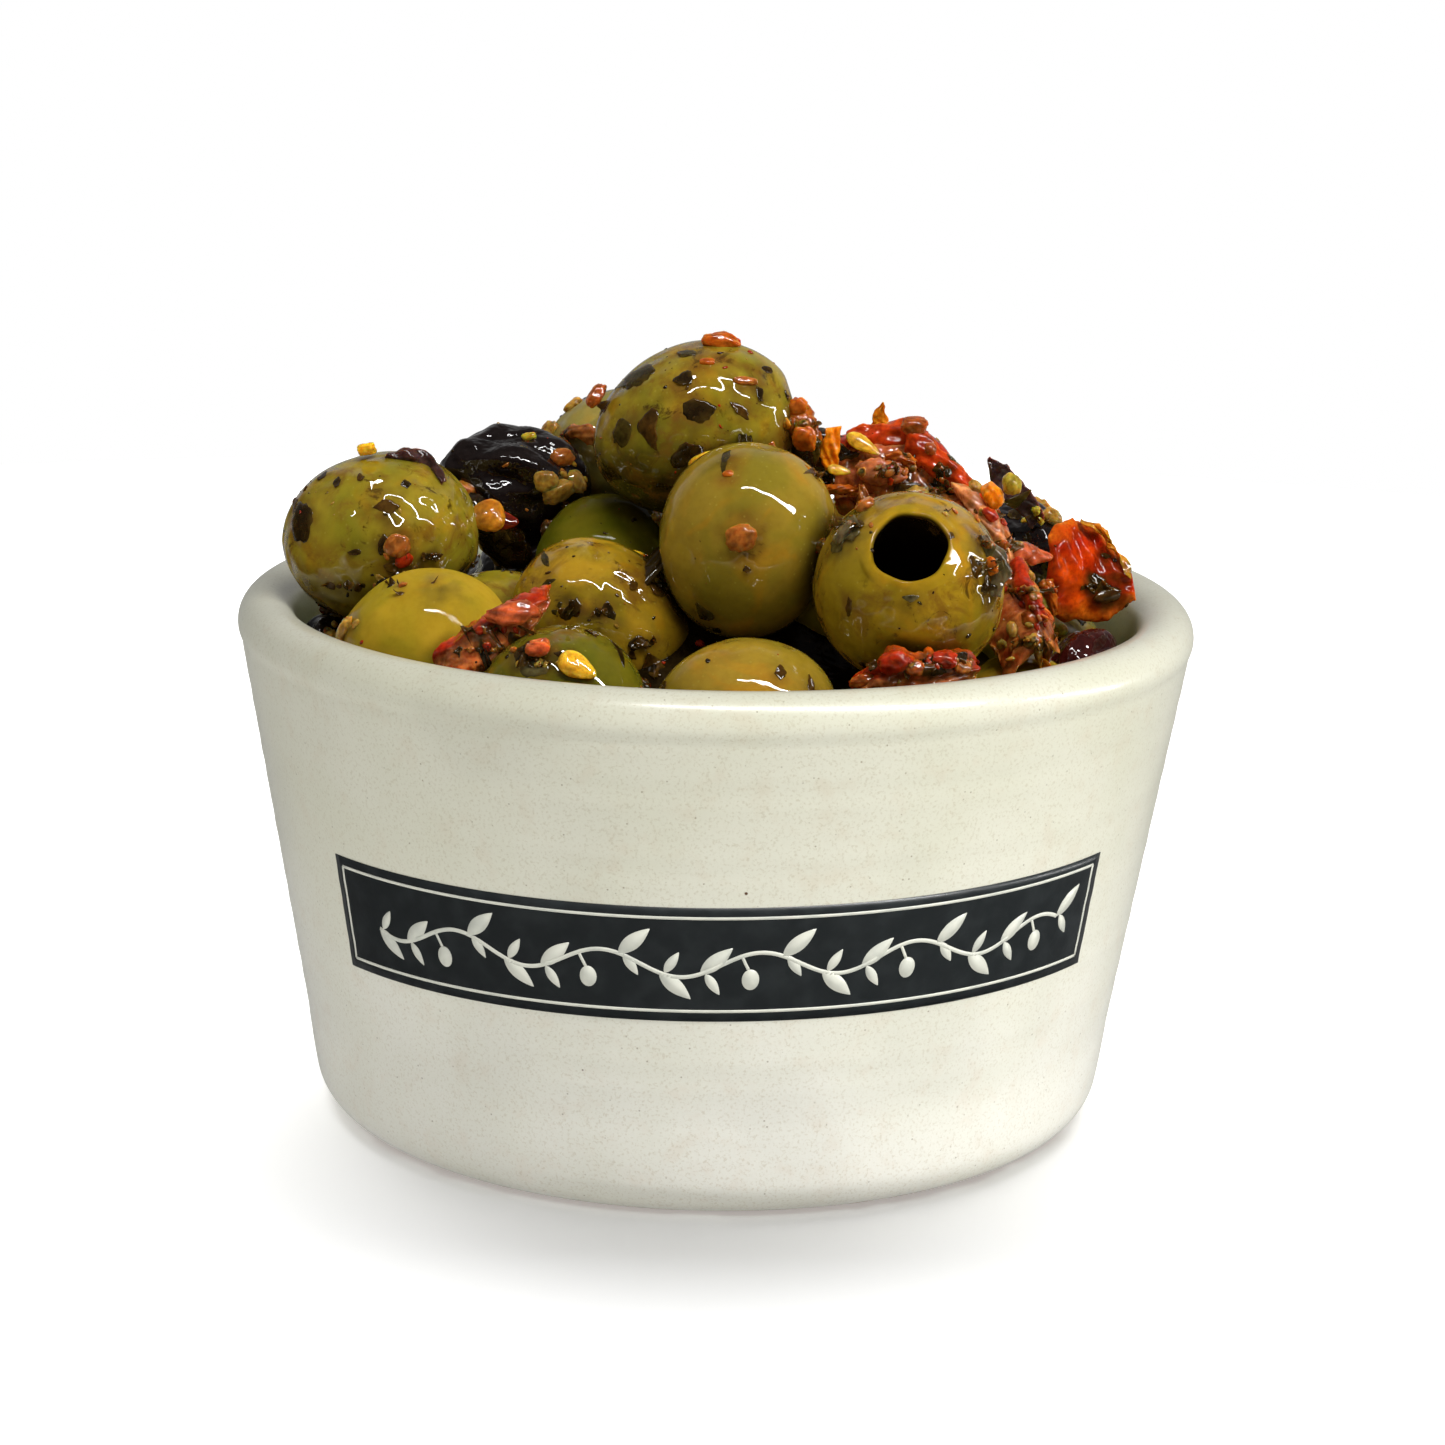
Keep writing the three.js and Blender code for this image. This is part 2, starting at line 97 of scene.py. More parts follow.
# Olives: centre, half length, half width, axis azimuth and elevation in degrees, then what is special
# An olive's darker lower part is painted shade with some grime, and near black below its middle is painted
# shadow
OLIVES = {
    "top": ((-2.6, -3, 72.5), 10.8, 8.7, (0, 22), dict(tint="moss", grit=0.45, shadow=0.92)),
    "middle": ((3, -17, 63.5), 10, 9, (0, 80), dict(tint="khaki", grit=0.12, shade_and_grime=0.05)),
    "pitted": ((19, -24, 60.5), 9.9, 9.5, (-93, 38), dict(tint="gold", grit=0.5, shade_and_grime=0.4)),
    "left": ((-34.8, -5, 60.5), 10.2, 9.2, (10, 0), dict(tint="moss", grit=0.65)),
    "front_left": ((-29, -20, 52), 9, 8.5, (0, 5), dict(tint="amber", grit=0.12, dry=0.85)),
    "square": ((-11.7, -15, 54.4), 9.3, 8, (8, -30), dict(tint="gold", grit=0.6, squareness=2.4)),
    "shaded": ((-12, 0, 57.5), 7.6, 7, (40, 30), dict(tint="green", grit=0.2, dry=0.8)),
    "low_front": ((-15, -31, 49.5), 8.4, 7.9, (20, 0), dict(tint="green", grit=0.4)),
    "rim_front": ((3, -32, 49), 9.2, 7.6, (0, 3), dict(tint="khaki", grit=0.3)),
    "back_left": ((-11.5, 15, 67), 8, 6.4, (20, 20), dict(tint="pale", grit=0.4)),
    "wrinkled": ((-21.5, 5, 65.5), 8, 5.2, (10, -12), dict(wrinkle=0.5)),
    "dark_left": ((-19, 7, 55.5), 6.5, 4.6, (0, 75), dict(wrinkle=0.4)),
    "dark_right": ((33, 13, 58), 6.2, 4.8, (-60, -20), dict(wrinkle=0.3)),
    "back": ((2, 15, 60), 10, 8.6, (60, 0), dict(tint="khaki", grit=0.5)),
    "back_right": ((19, 13, 57), 9.6, 8.4, (-30, 10), dict(tint="gold", grit=0.5)),
    "ring_east": ((34, 4, 46), 9, 8.2, (95, 0), dict(tint="moss", grit=0.5)),
    "ring_northeast": ((28.5, 20.5, 49), 9.4, 8.2, (130, 0), dict(tint="khaki", grit=0.3)),
    "ring_north": ((15, 31, 51), 9.8, 8.4, (20, 0), dict(tint="gold", grit=0.5)),
    "ring_north_left": ((-2, 33, 50), 9.2, 8.2, (-10, 10), dict(tint="moss", grit=0.3)),
    "ring_northwest": ((-19, 28, 45), 9, 7.4, (30, 0), dict(tint="green", grit=0.6)),
    "ring_west": ((-31, 15, 46), 9, 7.6, (60, 0), dict(tint="amber", grit=0.4)),
    "ring_southwest": ((-33.5, -5, 44), 8.6, 7.6, (80, 0), dict(tint="moss", grit=0.5)),
    "ring_southeast": ((32, -13, 44), 8.8, 7.8, (60, 0), dict(tint="amber", grit=0.5)),
    "ring_south": ((20, -29, 43), 8.8, 7.8, (20, 0), dict(tint="moss", grit=0.5)),
    "inner_north": ((-9, 21, 53), 8.4, 7.6, (-50, 20), dict(tint="gold", grit=0.5)),
    "inner_west": ((-22, 16, 51), 7.6, 5.6, (100, 10), dict(wrinkle=0.4)),
    "inner_south": ((12, -7, 56), 9, 8, (20, 0), dict(tint="moss", grit=0.5)),
    "inner_east": ((22.5, 2, 60), 8, 7.2, (20, 0), dict(tint="amber", grit=0.5)),
    "inner_southwest": ((-23, -8, 50.5), 8.6, 7.6, (20, 0), dict(tint="moss", grit=0.5)),
    "inner_centre": ((3, 3, 58.5), 9.2, 8, (20, 0), dict(tint="green", grit=0.5)),
    "gap_north": ((11, 23, 48), 8.6, 7.6, (70, 0), dict(tint="khaki", grit=0.5)),
    "wall_left": ((-40.4, -7.6, 50.2), 3.6, 2.6, (70, 30), dict(wrinkle=0.2)),
    "wall_right": ((38.2, -9.4, 49.6), 5.2, 3.8, (65, 10), dict(wrinkle=0.3, red=True)),
}
PIT_RADIUS = 3.5
PIT_DEPTH = 14
FINE, COARSE = 30, 15  # cells along an olive's six faces: the ones that show, the ones below them
CONTACT_GAP = 0.03  # between olives that press on each other

# Colours, linear: skins, then the stalk scar, painted shade with grime under them, painted shadow, painted
# shade in creases and in the pit's hole, the black and red skins, and the painted shade of the heap's depths
SKINS = {
    "moss": (0.25, 0.185, 0.012),
    "khaki": (0.25, 0.16, 0.014),
    "gold": (0.31, 0.18, 0.009),
    "pale": (0.22, 0.18, 0.04),
    "amber": (0.335, 0.215, 0.014),
    # Green is dark partly as painted shade, for the olive that lies in shadow
    "green": (0.11, 0.095, 0.005),
}
SCAR = (0.07, 0.04, 0.012)
UNDER_SHADE_AND_GRIME = (0.10, 0.052, 0.005)
SHADOW = (0.016, 0.011, 0.002)
CREVICE_SHADE_AND_PASTE = (0.03, 0.014, 0.002)
PIT_SHADE = (0.006, 0.002, 0.0004)
BLACK_SKIN = (0.012, 0.007, 0.006)
RED_SKIN = (0.05, 0.006, 0.004)
HEAP_SHADE = (0.012, 0.007, 0.002)

# Sun-dried tomato: stations along a strip, each a centre, the direction across it and its width. They are the
# solids' own, and so are the folds, but for the flap's, which are lower here
TOMATOES = {
    "tomato_ridge": dict(thickness=3.4, crumple=0.7, drape=3, seed=3, stations=[
        ((11, -1, 69.6), (-0.1, 0.93, 0.35), 10),
        ((16, -0.5, 71), (0, 0.93, 0.36), 14),
        ((20, -1.5, 70.6), (0.05, 0.92, 0.38), 15),
        ((24.2, -3.5, 66.4), (0.2, 0.92, 0.33), 12),
        ((27.4, -7, 63), (0.45, 0.84, 0.3), 10),
        ((30.2, -11.5, 59.6), (0.6, 0.74, 0.3), 9),
        ((31.6, -16, 56.4), (0.7, 0.64, 0.3), 8),
        ((32.2, -20, 54), (0.8, 0.5, 0.3), 6)]),
    "tomato_flap": dict(thickness=1.8, crumple=0.3, drape=0.8, seed=8, stations=[
        ((34.6, -5, 59.4), (0.1, 0.3, 0.95), 6),
        ((37, -3.4, 58.6), (0.05, 0.32, 0.94), 11.5),
        ((40, -2.4, 58.3), (-0.1, 0.35, 0.93), 10),
        ((43.4, -2.8, 57.6), (-0.2, 0.35, 0.9), 3.5)]),
    "tomato_front_left": dict(thickness=2.4, crumple=0.4, drape=0.6, seed=5, stations=[
        ((-27.6, -30, 53), (0, 0.6, 0.8), 3),
        ((-23, -30.6, 55.6), (0, 0.5, 0.87), 6),
        ((-19.2, -30.2, 57.8), (0, 0.4, 0.92), 6),
        ((-16.4, -28, 59.2), (0.2, 0.5, 0.84), 3.4)]),
    "tomato_front_right": dict(thickness=2.6, crumple=0.5, drape=0.6, seed=9, stations=[
        ((13.6, -36, 53.2), (0, 0.45, 0.89), 2.6),
        ((16.6, -36, 54.6), (0, 0.45, 0.89), 5),
        ((20, -35.6, 54.6), (0, 0.5, 0.87), 4.4),
        ((23.4, -33.6, 54.6), (0, 0.5, 0.87), 4.6),
        ((25.6, -32.4, 54.4), (0, 0.5, 0.87), 2.6)]),
}

# Small things: random ones lie above these heights in the gaps and on the heap, and within the radius. Beside
# the food, a pixel's place is looked for from one Y. Colours whose parts are all below one value are leaf
GAP_FROM_Z, HEAP_FROM_Z, HEAP_RADIUS = 42, 44, 44
SEARCH_FROM_Y = -10.0
LEAFY_BELOW = 0.1


# --- Meshes ---------------------------------------------------------------------------------------------

class Soup:
    """Points, faces and point colours of several shapes that become one piece."""

    def __init__(self):
        self.points, self.faces, self.colours, self.count = [], [], [], 0

    def add(self, points, faces, colours):
        self.points.append(np.asarray(points, float))
        self.faces += shifted(faces, self.count)
        self.colours.append(np.broadcast_to(np.asarray(colours, float), (len(points), 4)))
        self.count += len(points)

    def stain(self, spots):
        """Tints the skin round things that lie on it. Spots are places, radii, colours and strengths."""
        points, colours = np.concatenate(self.points), np.concatenate(self.colours)
        blot = 0.6 + 0.7 * fractal(points, 1.6, 2, 77)
        for place, radius, colour, strength in spots:
            near = np.exp(-(np.linalg.norm(points - place, axis=1) / radius) ** 2)
            colours = blend(colours, (*colour, 1), np.clip(near * strength * blot, 0, 1))
        self.points, self.colours = [points], [colours]

    def piece(self, name, material, slot, nodes=(), around=None):
        """Makes the object. Where around is given, what that tree's faces crowd is darker: painted shade in
        creases and between pieces, with some paste.
        """
        mesh = bpy.data.meshes.new(name)
        points, colours = np.concatenate(self.points), np.concatenate(self.colours)
        mesh.from_pydata((points * MM).tolist(), [], self.faces)
        if around:
            # Painted shade, partly paste, where neighbouring faces crowd a point
            crevice_shade = 0.85 * smooth_step(0.12, 0.85, crowding(mesh, around))
            colours[:, :3] = blend(colours[:, :3], CREVICE_SHADE_AND_PASTE, crevice_shade)
        tint = mesh.attributes.new("tint", "FLOAT_COLOR", "POINT")
        tint.data.foreach_set("color", colours.astype(np.float32).ravel())
        mesh.polygons.foreach_set("use_smooth", [True] * len(mesh.polygons))
        mesh.materials.append(material)
        mesh.update()
        obj = add_object(name, mesh)
        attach(obj, "root")
        if nodes:
            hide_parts(*nodes)
        return obj


def add_object(name, data):
    obj = bpy.data.objects.new(name, data)
    bpy.context.scene.collection.objects.link(obj)
    return obj


def stand(obj, x, y, z, point):
    """Puts an object at a point, with its axes along x, y and z."""
    turn = Matrix([list(x), list(y), list(z)]).transposed().to_4x4()
    obj.matrix_world = Matrix.Translation(Vector(point * MM)) @ turn


def blend(colours, other, share):
    """Colours moved to another one, by a share for each point."""
    share = share[:, None]
    return colours * (1 - share) + share * np.asarray(other)


def with_alpha(colours, alpha=1.0):
    return np.column_stack([colours, np.broadcast_to(alpha, len(colours))])


def shifted(faces, by):
    return [tuple(i + by for i in face) for face in faces]


def unit(v):
    v = np.asarray(v, float)
    return v / np.linalg.norm(v, axis=-1, keepdims=True)


def fractal(points, size, octaves=3, seed=0):
    """Smooth noise of about -1 to 1 at points, whose largest lumps are size across."""
    shift = 17.3 * seed
    return np.array([noise.fractal(Vector(p / size + shift), 0.9, 2.0, octaves) for p in points])


def smooth_step(low, high, x):
    t = np.clip((x - low) / (high - low), 0, 1)
    return t * t * (3 - 2 * t)


def crowding(mesh, tree, reach=3.0, rays=10):
    """Share of the short ways out of a mesh's points that the tree's faces block, evened out a little."""
    count = len(mesh.vertices)
    points, normals = np.empty(3 * count), np.empty(3 * count)
    mesh.vertices.foreach_get("co", points)
    mesh.vertices.foreach_get("normal", normals)
    points, normals = points.reshape(-1, 3) / MM, normals.reshape(-1, 3)
    starts = [Vector(p) for p in points + 0.15 * normals]
    blocked = np.zeros(count)
    for way in unit(np.random.default_rng(3).normal(size=(rays, 3))):
        outward = 1.05 * normals + way
        blocked += [tree.ray_cast(a, Vector(d), reach)[0] is not None for a, d in zip(starts, outward)]
    blocked /= rays
    ends = np.empty(2 * len(mesh.edges), int)
    mesh.edges.foreach_get("vertices", ends)
    one, other = ends.reshape(-1, 2).T
    near = np.bincount(one, minlength=count) + np.bincount(other, minlength=count) + 1
    for _ in range(3):
        total = np.bincount(one, blocked[other], count) + np.bincount(other, blocked[one], count) + blocked
        blocked = total / near
    return blocked


@functools.cache
def ball(cells):
    """A unit sphere of six faces of cells by cells quads, as directions and faces."""
    bm = bmesh.new()
    bmesh.ops.create_cube(bm, size=2)
    bmesh.ops.subdivide_edges(bm, edges=bm.edges[:], cuts=cells - 1, use_grid_fill=True)
    points = np.tan(np.array([v.co for v in bm.verts]) * math.pi / 4)
    faces = [tuple(v.index for v in f.verts) for f in bm.faces]
    bm.free()
    return unit(points), faces


def grid_faces(rows, columns, closed=False):
    """Quads of a grid of rows by columns points, whose last column meets the first where closed."""
    faces = []
    for i in range(rows - 1):
        for j in range(columns if closed else columns - 1):
            a, b = i * columns + j, i * columns + (j + 1) % columns
            faces.append((a, b, b + columns, a + columns))
    return faces


def fan(count):
    """Triangles between a first point and the ring of points after it."""
    return [(0, 1 + (k + 1) % count, 1 + k) for k in range(count)]


def revolved(profile, columns):
    """A closed body from a profile of radii and heights that starts and ends on the axis, upwards outside.
    Returns its points, faces, and each point's row of the profile and angle."""
    angles = np.linspace(0, 2 * math.pi, columns, endpoint=False)
    rings = len(profile) - 2
    rows = np.concatenate([[0], np.repeat(np.arange(1, rings + 1), columns), [rings + 1]])
    around = np.concatenate([[0], np.tile(angles, rings), [0]])
    radius, z = profile[rows].T
    points = np.stack([radius * np.cos(around), radius * np.sin(around), z], 1)
    last, top = len(points) - 1, len(points) - 1 - columns
    faces = shifted(grid_faces(rings, columns, closed=True), 1) + fan(columns)
    faces += [(last, top + k, top + (k + 1) % columns) for k in range(columns)]
    return points, faces, rows, around


def closed_sheet(top, under, faces):
    """Points and faces of a thin body: top faces, the same faces turned over on under, and the sides."""
    count = len(top)
    edges = dict.fromkeys(edge for face in faces for edge in zip(face, face[1:] + face[:1]))
    sides = [(b, a, a + count, b + count) for a, b in edges if (b, a) not in edges]
    below = shifted([face[::-1] for face in faces], count)
    return np.concatenate([top, under]), faces + below + sides


def turn_to(azimuth, elevation):
    """Matrix that turns +Z to an azimuth and elevation in degrees, by the shortest way."""
    a, e = math.radians(azimuth), math.radians(elevation)
    axis = Vector((math.cos(a) * math.cos(e), math.sin(a) * math.cos(e), math.sin(e)))
    return np.array(Vector((0, 0, 1)).rotation_difference(axis).to_matrix())


def tangents(normal, spin=0.0):
    """Two directions across a normal, turned by spin."""
    side = unit(np.cross(normal, UP if abs(normal[2]) < 0.9 else (1.0, 0, 0)))
    other = np.cross(normal, side)
    return math.cos(spin) * side + math.sin(spin) * other, math.cos(spin) * other - math.sin(spin) * side


# --- Camera ---------------------------------------------------------------------------------------------

def camera_axes():
    """Right, up and forward of the camera."""
    forward = np.array([math.sin(CAMERA_YAW) * math.cos(CAMERA_PITCH),
                        math.cos(CAMERA_YAW) * math.cos(CAMERA_PITCH), -math.sin(CAMERA_PITCH)])
    level = unit(np.cross(forward, UP))
    above = np.cross(level, forward)
    c, s = math.cos(CAMERA_ROLL), math.sin(CAMERA_ROLL)
    return c * level + s * above, c * above - s * level, forward


EYE = np.array([0, -CAMERA_BACK, CAMERA_HEIGHT])
RIGHT, ABOVE, FORWARD = camera_axes()


def sight(x, y):
    """Direction from the eye through a pixel of the photograph."""
    return unit(FORWARD + RIGHT * (x - PICTURE / 2) / CAMERA_FOCAL - ABOVE * (y - PICTURE / 2) / CAMERA_FOCAL)


def pixel_point(x, y, depth):
    """The point seen at a pixel that lies at Y = depth."""
    d = sight(x, y)
    return EYE + d * (depth - EYE[1]) / d[1]


def add_camera():
    data = bpy.data.cameras.new("camera")
    data.sensor_fit = "HORIZONTAL"
    data.sensor_width = 36
    data.lens = data.sensor_width * CAMERA_FOCAL / PICTURE
    data.clip_start = 0.01
    camera = add_object("camera", data)
    stand(camera, RIGHT, ABOVE, -FORWARD, EYE)
    bpy.context.scene.camera = camera


# --- Materials ------------------------------------------------------------------------------------------

class Nodes:
    """The nodes of a material or a world, with short calls. Textures are placed by object coordinates."""

    def __init__(self, owner):
        owner.use_nodes = True
        self.owner, self.tree = owner, owner.node_tree
        self.places = self.node("ShaderNodeTexCoord").outputs

    def node(self, kind, inputs=(), **settings):
        """A new node, with inputs given by name or number: each a socket to link, a number or a colour."""
        node = self.tree.nodes.new(kind)
        for key, value in settings.items():
            setattr(node, key, value)
        for key, value in dict(inputs).items():
            self.put(node.inputs[key], value)
        return node

    def put(self, socket, value):
        if isinstance(value, bpy.types.NodeSocket):
            self.tree.links.new(value, socket)
        elif value is not None:
            plain_colour = socket.type == "RGBA" and len(value) == 3
            socket.default_value = (*value, 1) if plain_colour else value

    def surface(self, **inputs):
        """Sets or links the shader's inputs, and returns the material."""
        for key, value in inputs.items():
            self.put(self.tree.nodes["Principled BSDF"].inputs[key.replace("_", " ")], value)
        return self.owner

    def noise(self, size_mm, detail=3.0, roughness=0.5, distortion=0.0):
        inputs = {"Vector": self.places["Object"], "Scale": 1 / (size_mm * MM), "Detail": detail,
                  "Roughness": roughness, "Distortion": distortion}
        return self.node("ShaderNodeTexNoise", inputs).outputs["Fac"]

    def dots(self, size_mm, low, high):
        """Round dots on a grid of uneven cells: 1 up to low from their middles, 0 from high on, in cells."""
        inputs = {"Vector": self.places["Object"], "Scale": 1 / (size_mm * MM)}
        return self.span(self.node("ShaderNodeTexVoronoi", inputs).outputs["Distance"], low, high, 1.0, 0.0)

    def span(self, value, low, high, to_low=0.0, to_high=1.0):
        inputs = {"Value": value, "From Min": low, "From Max": high, "To Min": to_low, "To Max": to_high}
        return self.node("ShaderNodeMapRange", inputs, interpolation_type="SMOOTHSTEP").outputs["Result"]

    def math(self, operation, a, b):
        return self.node("ShaderNodeMath", {0: a, 1: b}, operation=operation).outputs["Value"]

    def mix(self, factor, a, b, blend_type="MIX"):
        inputs = {0: factor, 6: a, 7: b}
        return self.node("ShaderNodeMix", inputs, data_type="RGBA", blend_type=blend_type).outputs[2]

    def layer(self, base, colour, mask, amount, blend_type="MIX"):
        """A colour over base where mask is 1, by an amount."""
        return self.mix(self.math("MULTIPLY", mask, amount), base, colour, blend_type)

    def bump(self, height, distance_mm, strength, under=None):
        inputs = {"Height": height, "Distance": distance_mm * MM, "Strength": strength, "Normal": under}
        return self.node("ShaderNodeBump", inputs).outputs["Normal"]

    def tint(self):
        """The colour and alpha of the points."""
        outputs = self.node("ShaderNodeAttribute", attribute_name="tint").outputs
        return outputs["Color"], outputs["Alpha"]


def glaze_material():
    """A speckled glaze. The tint shades it, with the bowl's painted light and shade, and its alpha says where
    the clay is bare.
    """
    n = Nodes(bpy.data.materials.new("stoneware_glaze"))
    base = n.mix(n.span(n.noise(14, 4), 0.35, 0.65), (0.74, 0.73, 0.585), (0.77, 0.757, 0.625))
    base = n.layer(base, (0.70, 0.62, 0.47), n.span(n.noise(3.2, 3, 0.6), 0.5, 0.75), 0.35)
    base = n.layer(base, (0.44, 0.36, 0.2), n.span(n.noise(0.3, 2, 0.65), 0.5, 0.72), 0.32)
    speckles = n.math("MULTIPLY", n.dots(1.1, 0.05, 0.12), n.span(n.noise(2.4, 1), 0.48, 0.58))
    base = n.layer(base, (0.22, 0.17, 0.09), speckles, 0.6)
    base = n.layer(base, (0.12, 0.05, 0.02), n.dots(4.6, 0.025, 0.045), n.span(n.noise(9, 0), 0.60, 0.63))
    tint, bare = n.tint()
    base = n.mix(1.0, base, tint, "MULTIPLY")
    clay = n.mix(n.noise(0.5, 3), (0.42, 0.3, 0.2), (0.3, 0.2, 0.13))
    fine = n.bump(n.noise(0.5, 3), 0.03, 0.5)
    return n.surface(Base_Color=n.mix(bare, base, clay), Roughness=n.span(bare, 0, 1, 0.34, 0.85),
                     Normal=n.bump(n.noise(5, 2), 0.12, 0.5, fine),
                     IOR=1.5, Coat_Weight=0.5, Coat_Roughness=0.18)


def print_material(name, colour, patch):
    n = Nodes(bpy.data.materials.new(name))
    return n.surface(Base_Color=n.mix(n.span(n.noise(2.5, 4), 0.4, 0.7), colour, patch),
                     Roughness=n.span(n.noise(1.2, 3), 0.3, 0.7, 0.3, 0.42),
                     Normal=n.bump(n.noise(0.5, 3), 0.03, 0.4), Coat_Weight=0.25, Coat_Roughness=0.2)


def olive_material():
    """Olive skin under an oil film. The tint's alpha says how much spice paste and grit the film carries,
    from 0, and below 0 how far the film is gone."""
    n = Nodes(bpy.data.materials.new("olive_skin"))
    skin, mark = n.tint()
    grit, film = n.math("MAXIMUM", mark, 0.0), n.span(mark, -1, 0)
    skin = n.layer(skin, (0.62, 0.78, 0.6), n.span(n.noise(7, 2, 0.5, 0.4), 0.42, 0.62), 0.6, "MULTIPLY")
    gold = n.math("MULTIPLY", n.span(n.noise(5, 3, 0.55, 0.8), 0.5, 0.68), 0.5)
    skin = n.layer(skin, (1.4, 1.0, 0.5), gold, film, "MULTIPLY")
    skin = n.layer(skin, (0.7, 0.66, 0.5), n.span(n.noise(0.9, 3, 0.6), 0.35, 0.75), 0.35, "MULTIPLY")
    pores = n.math("MULTIPLY", n.dots(0.85, 0.05, 0.2), 0.18)
    skin = n.layer(skin, (0.42, 0.36, 0.06), pores, film)
    paste, crust = n.span(grit, 0.1, 0.7, 0, 0.75), n.span(grit, 0.2, 0.8, 0, 0.85)
    skin = n.layer(skin, (0.13, 0.055, 0.006), n.span(n.noise(4.2, 5, 0.68, 0.6), 0.46, 0.66), paste)
    skin = n.layer(skin, (0.035, 0.015, 0.002), n.span(n.noise(2.6, 5, 0.7, 0.8), 0.56, 0.66), crust)
    wave = n.bump(n.noise(5, 1, 0.4), 0.35, 0.5)
    pool = n.bump(n.noise(3.2, 1, 0.5), 0.32, 0.5)
    return n.surface(Base_Color=skin, Roughness=n.span(n.noise(1.4, 3), 0.3, 0.7, 0.3, 0.5),
                     Subsurface_Weight=0.35, Subsurface_Radius=(1.0, 0.7, 0.14), Subsurface_Scale=2.2 * MM,
                     Coat_Weight=film, Coat_Roughness=0.03, Coat_IOR=1.52, IOR=1.42, Specular_IOR_Level=0.0,
                     Normal=n.bump(n.noise(0.6, 2), 0.04, 0.4, wave),
                     Coat_Normal=n.bump(n.noise(2.1, 0.3, 0.5), 1.0, n.span(grit, 0.2, 0.55, 0, 0.9), pool))


def wet_material(name, patch, shade, scatter, roughness=0.35, gloss=0.0, film=1.0, film_roughness=0.035,
                 grain=0.06, waves=0.2, reach_mm=1.5, beads=0.08):
    """A wet food surface: the tint, multiplied by patch in blots of strength shade, and darker in fine ones.
    Scatter is its subsurface weight and reach its depth. Gloss is the surface's, below the film. Grain is
    the surface's bump, beads the film's, and both have the waves."""
    n = Nodes(bpy.data.materials.new(name))
    base, _ = n.tint()
    base = n.layer(base, patch, n.span(n.noise(1.8, 3), 0.4, 0.68), shade, "MULTIPLY")
    base = n.layer(base, (0.5, 0.4, 0.34), n.span(n.noise(0.5, 3), 0.4, 0.65), 0.6, "MULTIPLY")
    wave = n.bump(n.noise(1.6, 2), waves, 0.5)
    return n.surface(Base_Color=base,
                     Roughness=n.span(n.noise(1.1, 3), 0.3, 0.7, roughness * 0.7, roughness * 1.3),
                     Subsurface_Weight=scatter, Subsurface_Radius=(1.0, 0.35, 0.1),
                     Subsurface_Scale=reach_mm * MM, Specular_IOR_Level=gloss,
                     Coat_Weight=film, Coat_Roughness=film_roughness, Coat_IOR=1.52,
                     Normal=n.bump(n.noise(0.5, 3, 0.6), grain, 0.8, wave),
                     Coat_Normal=n.bump(n.noise(0.8, 1), beads, 0.5, wave))


def floor_material():
    n = Nodes(bpy.data.materials.new("floor"))
    return n.surface(Base_Color=n.mix(n.noise(60, 2), (0.93, 0.93, 0.93), (0.95, 0.95, 0.95)), Roughness=0.9,
                     Specular_IOR_Level=0.1, Emission_Color=(1, 1, 1), Emission_Strength=0.3)


# --- Bowl -----------------------------------------------------------------------------------------------

def inner_centre():
    """Centre radius of the fillet between floor and inner wall, which is parallel to the outer one."""
    c, s = math.cos(WALL_ANGLE), math.sin(WALL_ANGLE)
    across = (RIM_RADIUS - LIP) * c + (BOWL_HEIGHT - LIP) * s - LIP
    return (across - FLOOR_FILLET - s * (FLOOR + FLOOR_FILLET)) / c


def wall_radius(z, side):
    """Radius of the straight wall at height z: side 1 is the outer face, -1 the inner one."""
    c, s = math.cos(WALL_ANGLE), math.sin(WALL_ANGLE)
    across = (RIM_RADIUS - LIP) * c + (BOWL_HEIGHT - LIP) * s + side * LIP
    return (across - z * s) / c


def outer_radius(z):
    """The outer wall with the step under the lip and the faint rings of throwing."""
    step = SHOULDER_STEP * (1 - smooth_step(SHOULDER_Z - 0.9, SHOULDER_Z, z)) * smooth_step(6, 12, z)
    groove = 0.06 * np.exp(-((z - SHOULDER_Z + 0.5) / 0.35) ** 2)
    rings = 0.025 * np.sin(z * 1.9) * np.sin(z * 0.43 + 1) * smooth_step(6, 12, z) * (z < SHOULDER_Z)
    return wall_radius(z, 1) - step - groove + rings


def arc(cx, cz, radius, start, end, steps):
    """Points of an arc in the (radius, height) plane, from one angle in radians to another."""
    angles = np.linspace(start, end, steps + 1)
    return np.stack([cx + radius * np.cos(angles), cz + radius * np.sin(angles)], 1)


def bowl_profile():
    quarter = math.pi / 2
    corner = BASE_RADIUS - BASE_CORNER
    foot = corner - FOOT_WIDTH
    base = arc(corner, BASE_CORNER, BASE_CORNER, -quarter, WALL_ANGLE, 20)
    lip = arc(RIM_RADIUS - LIP, BOWL_HEIGHT - LIP, LIP, WALL_ANGLE, math.pi + WALL_ANGLE, 36)
    fillet = arc(inner_centre(), FLOOR + FLOOR_FILLET, FLOOR_FILLET, WALL_ANGLE, -quarter, 20)
    z_out = np.linspace(base[-1, 1], lip[0, 1], 92)[1:-1]
    z_in = np.linspace(lip[-1, 1], fillet[0, 1], 44)[1:-1]
    foot_rim = [(0, FOOT_RECESS), (foot * 0.5, FOOT_RECESS), (foot - 1.1, FOOT_RECESS),
                (foot - 0.6, FOOT_RECESS * 0.75), (foot - 0.2, 0.12), (foot + 0.1, 0)]
    outside, inside = np.stack([outer_radius(z_out), z_out], 1), np.stack([wall_radius(z_in, -1), z_in], 1)
    floor = [(inner_centre() * 0.5, FLOOR), (0, FLOOR)]
    return np.concatenate([foot_rim, base, outside, lip, inside, fillet, floor])


def wobble(angle, z):
    """How far the hand-thrown wall strays from round."""
    return (0.07 * np.sin(2 * angle + 0.6) + 0.04 * np.sin(3 * angle + 2.1)) * z / BOWL_HEIGHT


